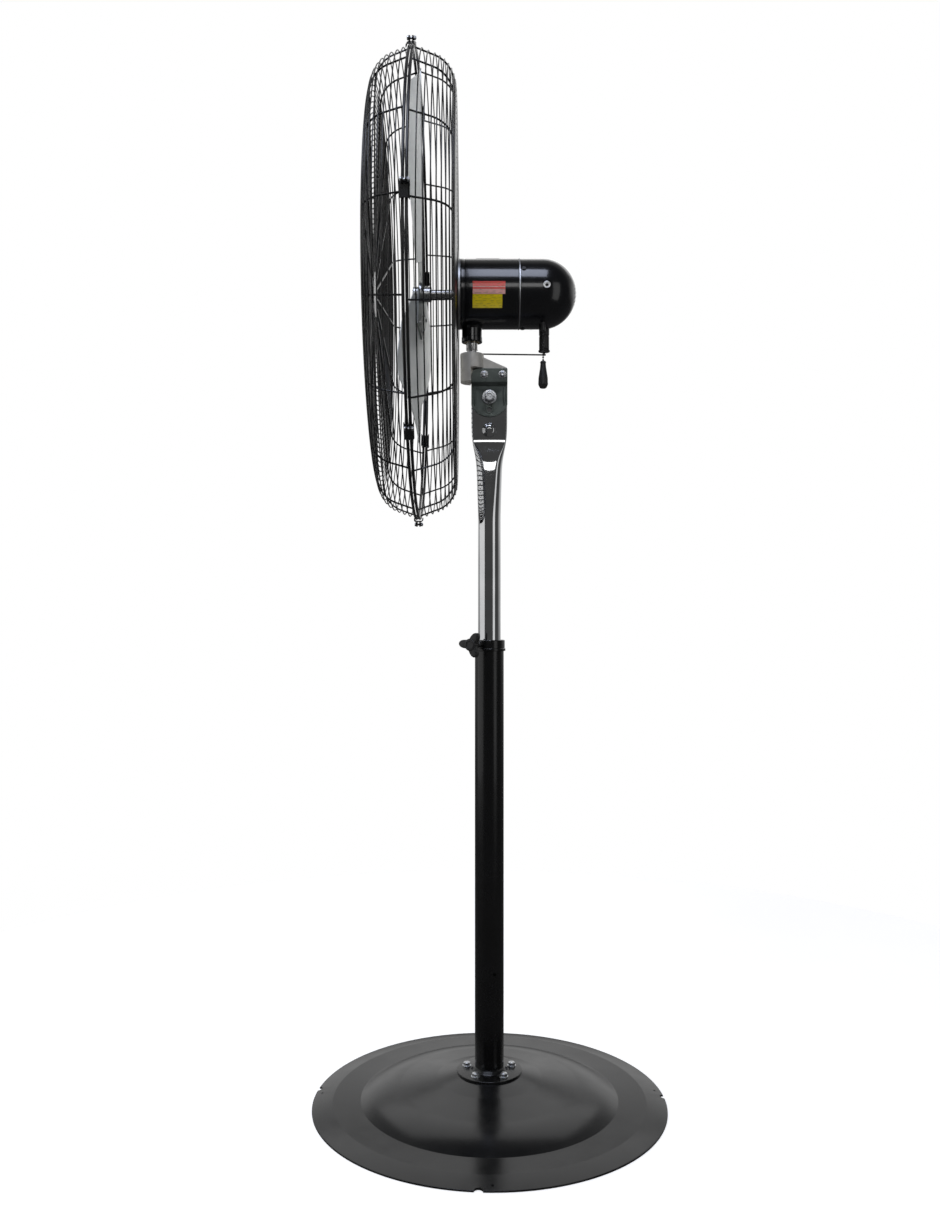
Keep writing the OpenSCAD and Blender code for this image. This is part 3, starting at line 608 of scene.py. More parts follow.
tube_stations = [tube_low, 0.5, 0.8] + [1.0 + 0.004 * k for k in range(59)] + [tube_high]
tube_sides = 96
deselect()
bpy.ops.mesh.primitive_grid_add(x_subdivisions=tube_sides, y_subdivisions=len(tube_stations) - 1, size=1)
tube = bpy.context.object
tube.name = "chrome_tube_crushed"
for vertex in tube.data.vertices:
    angle = math.tau * (vertex.co.x + 0.5)
    height = tube_stations[round((vertex.co.y + 0.5) * (len(tube_stations) - 1))]
    width, thickness = tube_size(height)
    if height > tilt_height:
        width = min(width, 0.0305 + 2 * math.sqrt(max(0.0, 0.016**2 - (height - tilt_height) ** 2)))
    side = max(-1.0, min(1.0, 3 * math.cos(angle)))
    vertex.co = (
        thickness / 2 * math.cos(angle) + side * (width - thickness) / 2,
        thickness / 2 * math.sin(angle),
        height,
    )
bpy.ops.object.mode_set(mode="EDIT")
close_up(40)
bpy.ops.object.mode_set(mode="EDIT")
bpy.ops.mesh.select_all(action="SELECT")
bpy.ops.mesh.fill_holes(sides=0)
close_up(40)
cut(tube, [drill(0.00605, 0.03, (0, 0, tilt_height), "Y", 48)])
bpy.ops.object.shade_smooth_by_angle(angle=math.radians(40))
chrome = bright_metal(
    "mirror_chrome", (0.7, 0.71, 0.72), (0.8, 0.81, 0.82), 0.07, 0.03, (1, 1, 0.05), 300, 0.000001
)
tube.data.materials.append(chrome)
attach(tube, "column")
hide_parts("sliding_tube")
coat("tube_foot", knob_plastic)


# ---- Tube bolt ----
# A chrome dome-head bolt through the crushed end, with a plain washer and nut behind. It
# keeps the two walls of the flattened tube together.
dome_height = 1.163
dome_seat = -0.0031
dome = turned(
    "dome_head",
    rounded(
        [
            (0.0, dome_seat),
            (0.0122, dome_seat),
            (0.0122, dome_seat - 0.0012, 0.0005),
            (0.0108, dome_seat - 0.0030, 0.002),
            (0.0075, dome_seat - 0.0053, 0.004),
            (0.0035, dome_seat - 0.0062, 0.004),
            (0.0, dome_seat - 0.0063),
        ],
        8,
    ),
    steps=64,
    centre=(0, 0, dome_height),
    along="Y",
)
shank = drill(0.005, 0.018, (0, 0.006, dome_height), "Y", 48)
bevel(shank, 0.0008)
tube_bolt = joined("tube_bolt_domed", [dome, shank])
tube_bolt.data.materials.append(chrome)
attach(tube_bolt, "column")
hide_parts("tube_bolt")
coat("tube_nut", zinc)


# ---- Tilt plates ----
# Two pressings of zinc-plated steel sheet with a joggle across the middle: below it they
# pinch the crushed tube, above it they clamp the casting. Two beads stiffen each one.
plate_half = 0.03125
plate_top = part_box("tilt_plate_near")[1].z
plate_round = 0.034
fold_height = 1.242
sheet_gap = 0.0029
arm_gap = 0.007
plate_thickness = 0.003


def joggle(height):
    return sheet_gap + (arm_gap - sheet_gap) * ease((height - fold_height + 0.004) / 0.008)


corner = 0.012
edge_start = math.degrees(math.acos(plate_half / plate_round))
plate_line = [(-plate_half, plate_top - corner)]
for k in range(0, 33):
    turn = math.radians(180 + edge_start + (180 - 2 * edge_start) * k / 32)
    plate_line.append((plate_round * math.cos(turn), tilt_height + plate_round * math.sin(turn)))
plate_line += [(plate_half, plate_top - 0.001), (plate_half - 0.001, plate_top)]
for k in range(0, 9):
    turn = math.radians(90 + 90 * k / 8)
    plate_line.append(
        (-plate_half + corner + corner * math.cos(turn), plate_top - corner + corner * math.sin(turn))
    )
deselect()
plate = draw("tilt_plate_pressed", [Vector((x, 0, z)) for x, z in plate_line])
bpy.ops.mesh.select_all(action="SELECT")
bpy.ops.mesh.remove_doubles(threshold=0.00002)
bpy.ops.mesh.edge_face_add()
for k in range(17):
    bpy.ops.mesh.select_all(action="SELECT")
    bpy.ops.mesh.bisect(plane_co=(0, 0, fold_height - 0.004 + 0.0005 * k), plane_no=(0, 0, 1))
bpy.ops.mesh.select_all(action="SELECT")
bpy.ops.mesh.extrude_region_move(TRANSFORM_OT_translate={"value": (0, -plate_thickness, 0)})
close_up(30)
cut(
    plate,
    [
        drill(0.00602, 0.02, (0, 0, tilt_height), "Y", 48),
        drill(0.004, 0.02, (0, 0, tilt_height - 0.022), "Y", 32),
    ],
)
for vertex in plate.data.vertices:
    vertex.co.y -= joggle(vertex.co.z)
bevel(plate, 0.0005, 2, 50)
details = [plate]
for side in (-1, 1):
    deselect()
    bpy.ops.mesh.primitive_uv_sphere_add(
        segments=24, ring_count=16, radius=0.5, location=(side * 0.0255, -sheet_gap - plate_thickness, 1.2215)
    )
    bead = bpy.context.object
    bead.scale = (0.0052, 0.0036, 0.034)
    settle(bead)
    bpy.ops.object.shade_smooth()
    details.append(bead)
ring_face = -sheet_gap - plate_thickness
details.append(
    turned(
        "hole_ring",
        rounded(
            [
                (0.004, ring_face + 0.0004),
                (0.004, ring_face - 0.0008, 0.0004),
                (0.0065, ring_face - 0.0008, 0.0006),
                (0.0068, ring_face + 0.0004),
                (0.004, ring_face + 0.0004),
            ]
        ),
        steps=40,
        centre=(0, 0, tilt_height - 0.022),
        along="Y",
    )
)
near_plate = joined("tilt_plate_near_pressed", details)
deselect()
near_plate.select_set(True)
bpy.context.view_layer.objects.active = near_plate
bpy.ops.object.duplicate(linked=False)
far_plate = bpy.context.object
far_plate.name = "tilt_plate_far_pressed"
far_plate.scale = (1, -1, 1)
settle(far_plate)
bpy.ops.object.mode_set(mode="EDIT")
close_up(30)
plate_zinc = bright_metal(
    "dull_zinc_plate", (0.085, 0.1, 0.092), (0.14, 0.16, 0.15), 0.5, 0.36, (1, 1, 1), 120, 0.00002, 0.85
)
for piece, node in ((near_plate, "tilt_plate_near"), (far_plate, "tilt_plate_far")):
    piece.data.materials.append(plate_zinc)
    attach(piece, "bracket")
    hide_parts(node)


# ---- Tilt bolt and bracket screws ----
# The tilt pivot is a zinc-plated bolt with a wide washer under its head. Two pan-head
# screws on washers hold the plates to the casting.
bolt_face = -sheet_gap - plate_thickness
bolt_washer = turned(
    "tilt_washer",
    rounded(
        [
            (0.004, bolt_face),
            (0.0125, bolt_face),
            (0.0125, bolt_face - 0.0022, 0.0007),
            (0.004, bolt_face - 0.0022),
        ]
    ),
    steps=64,
    centre=(0, 0, tilt_height),
    along="Y",
)
tilt_head = hexagon(0.0195, 0.0075, (0, bolt_face - 0.0059, tilt_height), "Y", 0.0009)
cut(tilt_head, [drill(0.0052, 0.006, (0, bolt_face - 0.0095, tilt_height), "Y", 32)])
bpy.ops.object.shade_smooth_by_angle(angle=math.radians(35))
tilt_shank = drill(0.0059, 0.024, (0, 0.0065, tilt_height), "Y", 48)
bevel(tilt_shank, 0.0008)
tilt_bolt = joined("tilt_bolt_and_washer", [bolt_washer, tilt_head, tilt_shank])
tilt_bolt.data.materials.append(zinc)
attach(tilt_bolt, "bracket")
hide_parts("tilt_bolt")
coat("tilt_nut", zinc)

screw_height = 1.2586
screw_face = -arm_gap - plate_thickness
screws = []
for x in (-0.009, 0.0225):
    screws.append(
        turned(
            "bracket_screw",
            rounded(
                [
                    (0.0, screw_face + 0.0002),
                    (0.0068, screw_face + 0.0002),
                    (0.0068, screw_face - 0.0008, 0.0003),
                    (0.0050, screw_face - 0.0009, 0.0002),
                    (0.0049, screw_face - 0.0024, 0.0012),
                    (0.0022, screw_face - 0.0032, 0.0006),
                    (0.0018, screw_face - 0.0016, 0.0002),
                    (0.0, screw_face - 0.0016),
                ]
            ),
            steps=40,
            centre=(x, 0, screw_height),
            along="Y",
        )
    )
    shank = drill(0.003, 0.024, (x, 0.0035, screw_height), "Y", 24)
    bevel(shank, 0.0004)
    screws.append(shank)
    screws.append(hexagon(0.01, 0.0044, (x, -screw_face + 0.0024, screw_height), "Y", 0.0004))
bracket_screws = joined("bracket_screw_set", screws)
bracket_screws.data.materials.append(zinc)
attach(bracket_screws, "bracket")
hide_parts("bracket_screws")


# ---- Swivel casting ----
# An aluminium sand casting left as cast: an upright barrel bored for the spindle, running
# out into a flat arm that the tilt plates clamp.
swivel_x = -0.03
barrel_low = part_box("swivel_arm")[0].z
barrel_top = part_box("swivel_arm")[1].z
barrel = turned(
    "casting_barrel",
    rounded(
        [
            (0.0, barrel_low),
            (0.0200, barrel_low, 0.0016),
            (0.0205, barrel_top, 0.0012),
            (0.0102, barrel_top, 0.0006),
            (0.0102, barrel_top - 0.006),
            (0.0, barrel_top - 0.006),
        ]
    ),
    steps=96,
    centre=(swivel_x, 0, 0),
)


def square_block(place, size):
    """A square block centred on a place, to cut with or to join on."""
    deselect()
    bpy.ops.mesh.primitive_cube_add(size=1, location=place, scale=size)
    return bpy.context.object


arm_line = [
    (swivel_x, fold_height + 0.006),
    (0.031, fold_height + 0.006),
    (0.031, plate_top + 0.0015),
    (-0.0105, barrel_top - 0.0065),
    (swivel_x, barrel_top - 0.004),
]
arm_half = 0.0068
arm = draw("casting_arm", [Vector((x, arm_half, z)) for x, z in arm_line])
bpy.ops.mesh.select_all(action="SELECT")
bpy.ops.mesh.edge_face_add()
bpy.ops.mesh.extrude_region_move(TRANSFORM_OT_translate={"value": (0, -2 * arm_half, 0)})
close_up(30)
bevel(arm, 0.0012, 3, 30)
plate_seat = (0.0645, 0.030, 0.031)
seats = [square_block((0.0, side * 0.0218, plate_top - 0.014), plate_seat) for side in (-1, 1)]
cut(barrel, seats)
bpy.ops.object.shade_smooth_by_angle(angle=math.radians(35))
casting = joined("swivel_casting", [barrel, arm])
raw_alloy = cast_skin("raw_cast_alloy", (0.62, 0.6, 0.55), (0.74, 0.72, 0.67), 0.6, 0.45, 0.6, 0.0001)
casting.data.materials.append(raw_alloy)
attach(casting, "bracket")
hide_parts("swivel_arm")


# ---- Spindle and link anchor ----
# A turned steel spindle is pressed into the casting and carries the head. Beside it
# stands the headed pin that the oscillation link turns on.
neck_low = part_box("swivel_neck")[0].z
spindle = turned(
    "spindle_turned",
    rounded(
        [
            (0.0, barrel_top - 0.008),
            (0.01, barrel_top - 0.008),
            (0.01, barrel_top + 0.0008, 0.0003),
            (0.0086, barrel_top + 0.0012, 0.0004),
            (0.0086, barrel_top + 0.0060, 0.0004),
            (0.01, barrel_top + 0.0064, 0.0004),
            (0.01, neck_low + 0.0195, 0.001),
            (0.0, neck_low + 0.0195),
        ]
    ),
    steps=64,
    centre=(swivel_x, 0, 0),
)
turned_steel = bright_metal(
    "turned_steel", (0.5, 0.5, 0.5), (0.62, 0.61, 0.6), 0.34, 0.2, (1, 1, 8), 300, 0.00001
)
spindle.data.materials.append(turned_steel)
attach(spindle, "bracket")
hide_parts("spindle")
black_wire = powder_coat(
    "black_oxide_steel", (0.012, 0.012, 0.013), (0.02, 0.02, 0.021), 0.5, 0.34, 900, 0.00001
)
coat("link_anchor", black_wire)


# ---- Swivel neck ----
# A short cast boss, welded under the motor and enamelled with it, that turns on the
# spindle in a brass bush. It carries the whole head.
axis_height = 1.399
drum_radius = 0.0595
neck = turned(
    "swivel_neck_boss",
    rounded(
        [
            (0.0131, neck_low + 0.0225),
            (0.0131, neck_low),
            (0.0172, neck_low, 0.001),
            (0.018, neck_low + 0.0012, 0.0008),
            (0.018, neck_low + 0.0085, 0.0004),
            (0.0174, neck_low + 0.0092, 0.0004),
            (0.0174, axis_height - drum_radius - 0.0015, 0.0012),
            (0.0192, axis_height - drum_radius + 0.0025),
            (0.0131, axis_height - drum_radius + 0.0025),
            (0.0131, neck_low + 0.0225),
        ]
    ),
    steps=80,
    centre=(swivel_x, 0, 0),
)
motor_paint = gloss_paint(
    "gloss_motor_enamel", (0.0025, 0.0027, 0.0036), (0.004, 0.0043, 0.0055), 0.24, 0.16, 0.5
)
neck.data.materials.append(motor_paint)
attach(neck, "head")
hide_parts("swivel_neck")
brass = bright_metal("turned_brass", (0.5, 0.36, 0.12), (0.62, 0.46, 0.18), 0.4, 0.26, (1, 1, 6), 300)
coat("spindle_bush", brass)


# ---- Motor drum ----
# A rolled sheet-steel shell, enamelled gloss black. Two bare die-cast plates close its
# ends, and four long bolts pull them together.
drum_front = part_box("motor_drum")[0].x
drum_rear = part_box("motor_drum")[1].x
axis = (0, 0, axis_height)
drum = turned(
    "motor_drum_rolled",
    rounded(
        [
            (drum_radius - 0.0025, drum_front),
            (drum_radius - 0.0006, drum_front, 0.0004),
            (drum_radius, drum_front + 0.0012, 0.0006),
            (drum_radius, drum_front + 0.006, 0.0008),
            (drum_radius - 0.0007, drum_front + 0.0066, 0.0005),
            (drum_radius - 0.0007, drum_front + 0.0078, 0.0005),
            (drum_radius, drum_front + 0.0084, 0.0008),
            (drum_radius, drum_rear - 0.0012, 0.0006),
            (drum_radius - 0.0006, drum_rear, 0.0004),
            (drum_radius - 0.0025, drum_rear),
            (drum_radius - 0.0025, drum_front),
        ]
    ),
    steps=160,
    centre=axis,
    along="X",
)
drum.data.materials.append(motor_paint)
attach(drum, "head")
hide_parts("motor_drum")
die_cast = cast_skin("die_cast_alloy", (0.5, 0.51, 0.52), (0.68, 0.69, 0.7), 0.5, 0.32, 1.0, 0.00008)
coat("front_end_plate", die_cast)
coat("rear_end_plate", die_cast)
coat("through_bolts", zinc)
coat("bearings", turned_steel)
stacked_steel = bright_metal(
    "stacked_laminations", (0.2, 0.2, 0.21), (0.32, 0.32, 0.33), 0.5, 0.36, (40, 1, 1), 60, 0.0001
)
coat("stator_core", stacked_steel)
coat("rotor_core", nodes["stator_core"].material_slots[0].material)
copper_wire = bright_metal(
    "enamelled_copper", (0.35, 0.12, 0.04), (0.56, 0.24, 0.1), 0.36, 0.2, (6, 1, 1), 200, 0.0002
)
coat("stator_windings", copper_wire)
coat("capacitor", moulding("capacitor_case", (0.05, 0.05, 0.055), (0.07, 0.07, 0.075), 0.4, 0.3))


# ---- Rear cover ----
# A deep-drawn steel dome, enamelled gloss black, over the gearbox and the switch. Rings of
# small vent holes are punched in its end, and three black screws hold it on.
cover_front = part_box("rear_cover")[0].x
cover_radius = drum_radius - 0.0002
cover_wall = 0.0025
dome_start = 0.0915
cover_line = [
    (cover_radius - cover_wall, cover_front),
    (cover_radius, cover_front, 0.0006),
]
for k in range(0, 25):
    turn = math.radians(90 * k / 24)
    cover_line.append((cover_radius * math.cos(turn), dome_start + cover_radius * math.sin(turn)))
for k in range(24, -1, -1):
    turn = math.radians(90 * k / 24)
    inner = cover_radius - cover_wall
    cover_line.append((inner * math.cos(turn), dome_start + inner * math.sin(turn)))
cover_line.append((cover_radius - cover_wall, cover_front))
cover = turned("rear_cover_dome", rounded(cover_line), steps=160, centre=axis, along="X")
crank_x = 0.096
crank_y = 0.014
chain_x = 0.092
chain_y = -0.021
vents = []
for ring in range(1, 4):
    for k in range(6 * ring):
        turn = math.tau * k / (6 * ring)
        vents.append(
            drill(
                0.0016,
                0.05,
                (0.14, 0.0072 * ring * math.sin(turn), axis_height + 0.0072 * ring * math.cos(turn)),
                "X",
                12,
            )
        )
gland_turn = math.radians(230)
gland_hole = drill(0.0062, 0.03, (0, 0, 0.06))
settle(gland_hole)
bpy.ops.transform.rotate(value=-gland_turn, orient_axis="X", center_override=(0, 0, 0))
bpy.ops.transform.translate(value=(0.075, 0, axis_height))
settle(gland_hole)
cut(
    cover,
    [
        joined("vents", vents),
        joined(
            "outlets",
            [
                drill(0.0093, 0.08, (crank_x, crank_y, axis_height - 0.05), "Z", 48),
                drill(0.0043, 0.08, (chain_x, chain_y, axis_height - 0.05), "Z", 32),
                drill(0.0046, 0.04, (crank_x, -0.06, axis_height), "Y", 32),
                gland_hole,
            ],
        ),
    ],
)
bpy.ops.object.shade_smooth_by_angle(angle=math.radians(35))
cover.data.materials.append(motor_paint)
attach(cover, "head")
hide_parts("rear_cover")
coat("cover_screws", knob_plastic)


# ---- Side plug ----
# A plated ring with a round socket, screwed into the side of the rear cover. The black disc at the bottom of
# the socket is painted shade.
# It closes the hole by which the gearbox is filled with grease.
plug_face = -drum_radius - 0.0016
plug = turned(
    "side_plug_ring",
    rounded(
        [
            (0.0030, plug_face + 0.006),
            (0.0045, plug_face + 0.006),
            (0.0045, plug_face + 0.0018),
            (0.0062, plug_face + 0.0018),
            (0.0062, plug_face, 0.0007),
            (0.0044, plug_face, 0.0004),
            (0.0040, plug_face + 0.0014, 0.0003),
            (0.0030, plug_face + 0.0014),
            (0.0030, plug_face + 0.006),
        ]
    ),
    steps=48,
    centre=(crank_x, 0, axis_height),
    along="Y",
)
# A black disc closes the socket: painted shade in the recess, not a part of the plug.
plug_back = turned(
    "side_plug_back",
    [
        (0.0, plug_face + 0.0056),
        (0.0032, plug_face + 0.0056),
        (0.0032, plug_face + 0.0048),
        (0.0, plug_face + 0.0048),
    ],
    steps=24,
    centre=(crank_x, 0, axis_height),
    along="Y",
)
plug.data.materials.append(zinc)
plug_back.data.materials.append(knob_plastic)
plug = joined("side_plug_ring", [plug, plug_back])
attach(plug, "head")
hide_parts("side_plug")


# ---- Labels ----
# Two blank film labels on the near side of the drum, red over yellow, and a white one on
# top. The film is glossy, a little raised and faintly ruled across.
def label_material(name):
    made, tree, shader, place = material(name)
    shader.inputs["Roughness"].default_value = 0.3
    shader.inputs["Coat Weight"].default_value = 0.4
    parts = tree.nodes.new("ShaderNodeSeparateXYZ")
    tree.links.new(place, parts.inputs["Vector"])
    levels = tree.nodes.new("ShaderNodeMapRange")
    levels.inputs["From Min"].default_value = 1.36
    levels.inputs["From Max"].default_value = 1.46
    tree.links.new(parts.outputs["Z"], levels.inputs["Value"])
    bands = tree.nodes.new("ShaderNodeValToRGB")
    bands.color_ramp.interpolation = "CONSTANT"
    yellow = (0.9, 0.7, 0.01, 1)
    red = (0.92, 0.07, 0.06, 1)
    pale_red = (0.95, 0.5, 0.46, 1)
    white = (0.62, 0.62, 0.6, 1)
    stops = ((0.0, yellow), (0.238, pale_red), (0.32, red), (0.345, pale_red), (0.362, red), (0.6, white))
    elements = bands.color_ramp.elements
    elements[0].position, elements[0].color = stops[0]
    elements[1].position, elements[1].color = stops[1]
    for position, colour in stops[2:]:
        elements.new(position).color = colour
    tree.links.new(levels.outputs["Result"], bands.inputs["Fac"])
    rules = tree.nodes.new("ShaderNodeTexWave")
    rules.wave_type = "BANDS"
    rules.bands_direction = "Z"
    rules.inputs["Scale"].default_value = 130
    rules.inputs["Distortion"].default_value = 0
    tree.links.new(place, rules.inputs["Vector"])
    patches = noise(tree, place, 420, 2, (0.4, 1, 1.6))
    both = tree.nodes.new("ShaderNodeMath")
    both.operation = "MULTIPLY"
    tree.links.new(rules.outputs["Fac"], both.inputs[0])
    tree.links.new(spread_between(tree, patches, 0.0, 1.0, 0.44, 0.56), both.inputs[1])
    inked = tree.nodes.new("ShaderNodeMix")
    inked.data_type = "RGBA"
    inked.inputs["B"].default_value = (0.16, 0.12, 0.02, 1)
    tree.links.new(bands.outputs["Color"], inked.inputs["A"])
    tree.links.new(spread_between(tree, both.outputs["Value"], 0.0, 0.55, 0.3, 0.9), inked.inputs["Factor"])
    tree.links.new(inked.outputs["Result"], shader.inputs["Base Color"])
    return made


coat("labels", label_material("ruled_label_film"))


# ---- Gearbox, switch and gland ----
# Black mouldings inside and under the cover: the gearbox with its output housing, the
# pull switch with its nipple, and a rubber gland on the far side for the supply cord.
housing_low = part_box("gearbox")[0].z
housing = turned(
    "output_housing",
    rounded(
        [
            (0.0032, housing_low),
            (0.0078, housing_low, 0.0008),
            (0.0088, housing_low + 0.001, 0.0006),
            (0.0088, 1.329, 0.0004),
            (0.0080, 1.3296, 0.0003),
            (0.0080, 1.331, 0.0003),
            (0.0090, 1.3316, 0.0004),
            (0.0090, 1.366),
            (0.0032, 1.366),
            (0.0032, housing_low),
        ]
    ),
    steps=64,
    centre=(crank_x, crank_y, 0),
)
deselect()
bpy.ops.mesh.primitive_cube_add(size=1, location=(0.09, 0.014, 1.389))
gear_case = bpy.context.object
gear_case.scale = (0.048, 0.028, 0.046)
bevel(gear_case, 0.003, 3)
gearbox = joined("gearbox_moulding", [housing, gear_case])
gearbox.data.materials.append(knob_plastic)
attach(gearbox, "head")
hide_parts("gearbox")
coat("pull_switch", knob_plastic)

rubber = moulding(
    "moulded_rubber", (0.014, 0.014, 0.014), (0.022, 0.022, 0.021), 0.75, 0.6, 900, 0.00003, 0.2
)
gland = turned(
    "cord_gland_moulding",
    rounded(
        [
            (0.0035, 0.054),
            (0.006, 0.054, 0.0008),
            (0.006, drum_radius + 0.0001),
            (0.008, drum_radius + 0.0001),
            (0.008, drum_radius + 0.0024, 0.0008),
            (0.0060, drum_radius + 0.003, 0.0006),
            (0.0056, 0.070, 0.0008),
            (0.0035, 0.070, 0.0003),
            (0.0035, 0.054),
        ]
    ),
    steps=48,
)
settle(gland)
bpy.ops.transform.rotate(value=-gland_turn, orient_axis="X", center_override=(0, 0, 0))
bpy.ops.transform.translate(value=(0.075, 0, axis_height))
settle(gland)
gland.data.materials.append(rubber)
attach(gland, "head")
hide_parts("cord_gland")


# ---- Guard plate ----
# A pressed steel ring screwed to the front of the motor. The rear ribs of the guard are
# welded to it, and it is powder coated black with them.
guard_paint = powder_coat(
    "guard_powder_coat", (0.004, 0.004, 0.0042), (0.007, 0.007, 0.0074), 0.34, 0.24, 700, 0.00001
)
plate_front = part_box("guard_plate")[0].x
plate_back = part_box("guard_plate")[1].x
guard_plate = turned(
    "guard_plate_pressed",
    rounded(
        [
            (0.030, plate_back),
            (0.074, plate_back, 0.001),
            (0.075, plate_back - 0.001, 0.001),
            (0.075, plate_front, 0.0012),
            (0.030, plate_front, 0.001),
            (0.030, plate_back),
        ]
    ),
    steps=128,
    centre=axis,
    along="X",
)
guard_plate.data.materials.append(guard_paint)
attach(guard_plate, "head")
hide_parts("guard_plate")
coat("guard_plate_screws", zinc)


# ---- Guard rings ----
# Each half of the guard has about forty rings of drawn steel wire, welded to its ribs at a
# finger-safe pitch. The side slopes up to a thicker ring that makes the rim.
rim_x = -0.1247
guard_radius = 0.3875
bend_radius = 0.050
rim_slope = math.radians(20)
ring_wire = 0.00105
rib_wire = 0.0015
rim_wire = 0.0025
rim_gap = 0.0028
front_depth = 0.066
rear_depth = 0.0685
cone_rise = 0.012
ring_step = 0.0083
slope_rings = 3.2


def face_depth(side, radius):
    if side > 0:
        return rear_depth
    return -front_depth - cone_rise * (1 - radius / face_edge(side))


def bend_x(side):
    return -front_depth + bend_radius if side < 0 else rear_depth - bend_radius


def face_edge(side):
    """The radius at which the face ends and the bend begins."""
    slope_run = abs(bend_x(side)) + bend_radius * math.sin(rim_slope) - rim_gap
    return guard_radius - bend_radius * math.cos(rim_slope) - slope_run * math.tan(rim_slope)


def wire_rings(name, sections, steps=132, sides=7):
    """Rings about the fan axis, spun at once; each section is (x, radius, wire radius)."""
    marks = []
    for x, radius, wire in sections:
        deselect()
        bpy.ops.mesh.primitive_circle_add(
            vertices=sides,
            radius=wire,
            fill_type="NOTHING",
            location=(rim_x + x, 0, axis_height + radius),
            rotation=(math.radians(90), 0, 0),
        )
        marks.append(bpy.context.object)
    rings = joined(name, marks)
    settle(rings)
    bpy.ops.object.mode_set(mode="EDIT")
    bpy.ops.mesh.select_all(action="SELECT")
    bpy.ops.mesh.spin(steps=steps, angle=math.tau, center=axis, axis=(1, 0, 0))
    close_up(80)
    return rings


for side, name, first_radius in ((1, "rear", 0.084), (-1, "front", 0.050)):
    face_radius = face_edge(side)
    count = round((face_radius - first_radius) / ring_step)
    face = []
    for k in range(count + 1):
        radius = first_radius + (face_radius - first_radius) * k / count
        face.append((face_depth(side, radius), radius, ring_wire))
    bends = []
    for k in range(1, 8):
        turn = (math.pi / 2 - rim_slope) * k / 7
        place = (
            bend_x(side) + side * bend_radius * math.cos(turn),
            face_radius + bend_radius * math.sin(turn),
            ring_wire,
        )
        (face if k < 3 else bends).append(place)
    slope_run = place[0] - side * rim_gap
    for k in (1, 2):
        step = slope_run * k / slope_rings
        bends.append((place[0] - step, place[1] + abs(step) * math.tan(rim_slope), ring_wire))
    bends.append((side * rim_gap, guard_radius, rim_wire))
    for what, sections in (("rings", face), ("side_rings", bends)):
        rings = wire_rings(f"{name}_{what}_wire", sections)
        rings.data.materials.append(guard_paint)
        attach(rings, "head")
        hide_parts(f"{name}_{what}")


# ---- Guard ribs ----
# Seventeen straight wires a side, each bent round to the rim and welded across the inside
# of the rings. The rear ones end on the guard plate, the front ones under the badge.
def wire(name, places, radius, rounding=1):
    """A round wire along the places, with closed ends."""
    curve = bpy.data.curves.new(name, "CURVE")
    curve.dimensions = "3D"
    line = curve.splines.new("POLY")
    line.points.add(len(places) - 1)
    for point, place in zip(line.points, places):
        point.co = (*place, 1)
    curve.bevel_depth = radius
    curve.bevel_resolution = rounding
    curve.use_fill_caps = True
    piece = bpy.data.objects.new(name, curve)
    scene.collection.objects.link(piece)
    deselect()
    piece.select_set(True)
    bpy.context.view_layer.objects.active = piece
    bpy.ops.object.convert(target="MESH")
    piece = bpy.context.object
    bpy.ops.object.mode_set(mode="EDIT")
    close_up(50)
    return piece


rib_count = 17
rib_inner = bend_radius - ring_wire - rib_wire + 0.0003
for side, name, first_radius, turn in ((1, "rear", 0.062, 4.5), (-1, "front", 0.026, 5.5)):
    face_radius = face_edge(side)
    slope = math.atan(cone_rise / face_radius) if side < 0 else 0.0
    bend = rim_x + bend_x(side)
    start = (
        bend + side * rib_inner * math.cos(slope),
        face_radius + rib_inner * math.sin(slope),
    )
    length = start[1] - first_radius
    places = [(start[0] + side * length * math.tan(slope), 0, axis_height + first_radius)]
    for k in range(13):
        angle = slope + (math.pi / 2 - rim_slope - slope) * k / 12
        places.append(
            (
                bend + side * rib_inner * math.cos(angle),
                0,
                axis_height + face_radius + rib_inner * math.sin(angle),
            )
        )
    slope_run = places[-1][0] - rim_x - side * rim_gap
    places.append((rim_x + side * rim_gap, 0, places[-1][2] + abs(slope_run) * math.tan(rim_slope)))
    rib = wire(f"{name}_rib", places, rib_wire)
    turns = [90 - turn - 360 * k / rib_count for k in range(rib_count)]
    ribs = repeated(f"{name}_ribs_wire", rib, turns, "X", axis)
    ribs.data.materials.append(guard_paint)
    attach(ribs, "head")
    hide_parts(f"{name}_ribs")


# ---- Guard badge ----
# A plain pressed disc covers the inner ends of the front ribs. It has a rolled rim and a
# shallow dish, and a washer behind grips the wires.
badge_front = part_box("guard_badge")[0].x
badge = turned(
    "guard_badge_pressed",
    rounded(
        [
            (0.0, badge_front + 0.0012),
            (0.016, badge_front + 0.0012, 0.004),
            (0.022, badge_front + 0.0001, 0.004),
            (0.0385, badge_front, 0.002),
            (0.042, badge_front + 0.0014, 0.0014),
            (0.042, badge_front + 0.0037, 0.0005),
            (0.0408, badge_front + 0.0037),
            (0.0404, badge_front + 0.0022, 0.001),
            (0.0375, badge_front + 0.0012),
            (0.008, badge_front + 0.0024),
            (0.008, badge_front + 0.0062),
            (0.038, badge_front + 0.0062),
            (0.038, badge_front + 0.0074, 0.0005),
            (0.0, badge_front + 0.0074),
        ]
    ),
    steps=96,
    centre=axis,
    along="X",
)
badge.data.materials.append(guard_paint)
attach(badge, "head")
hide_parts("guard_badge")


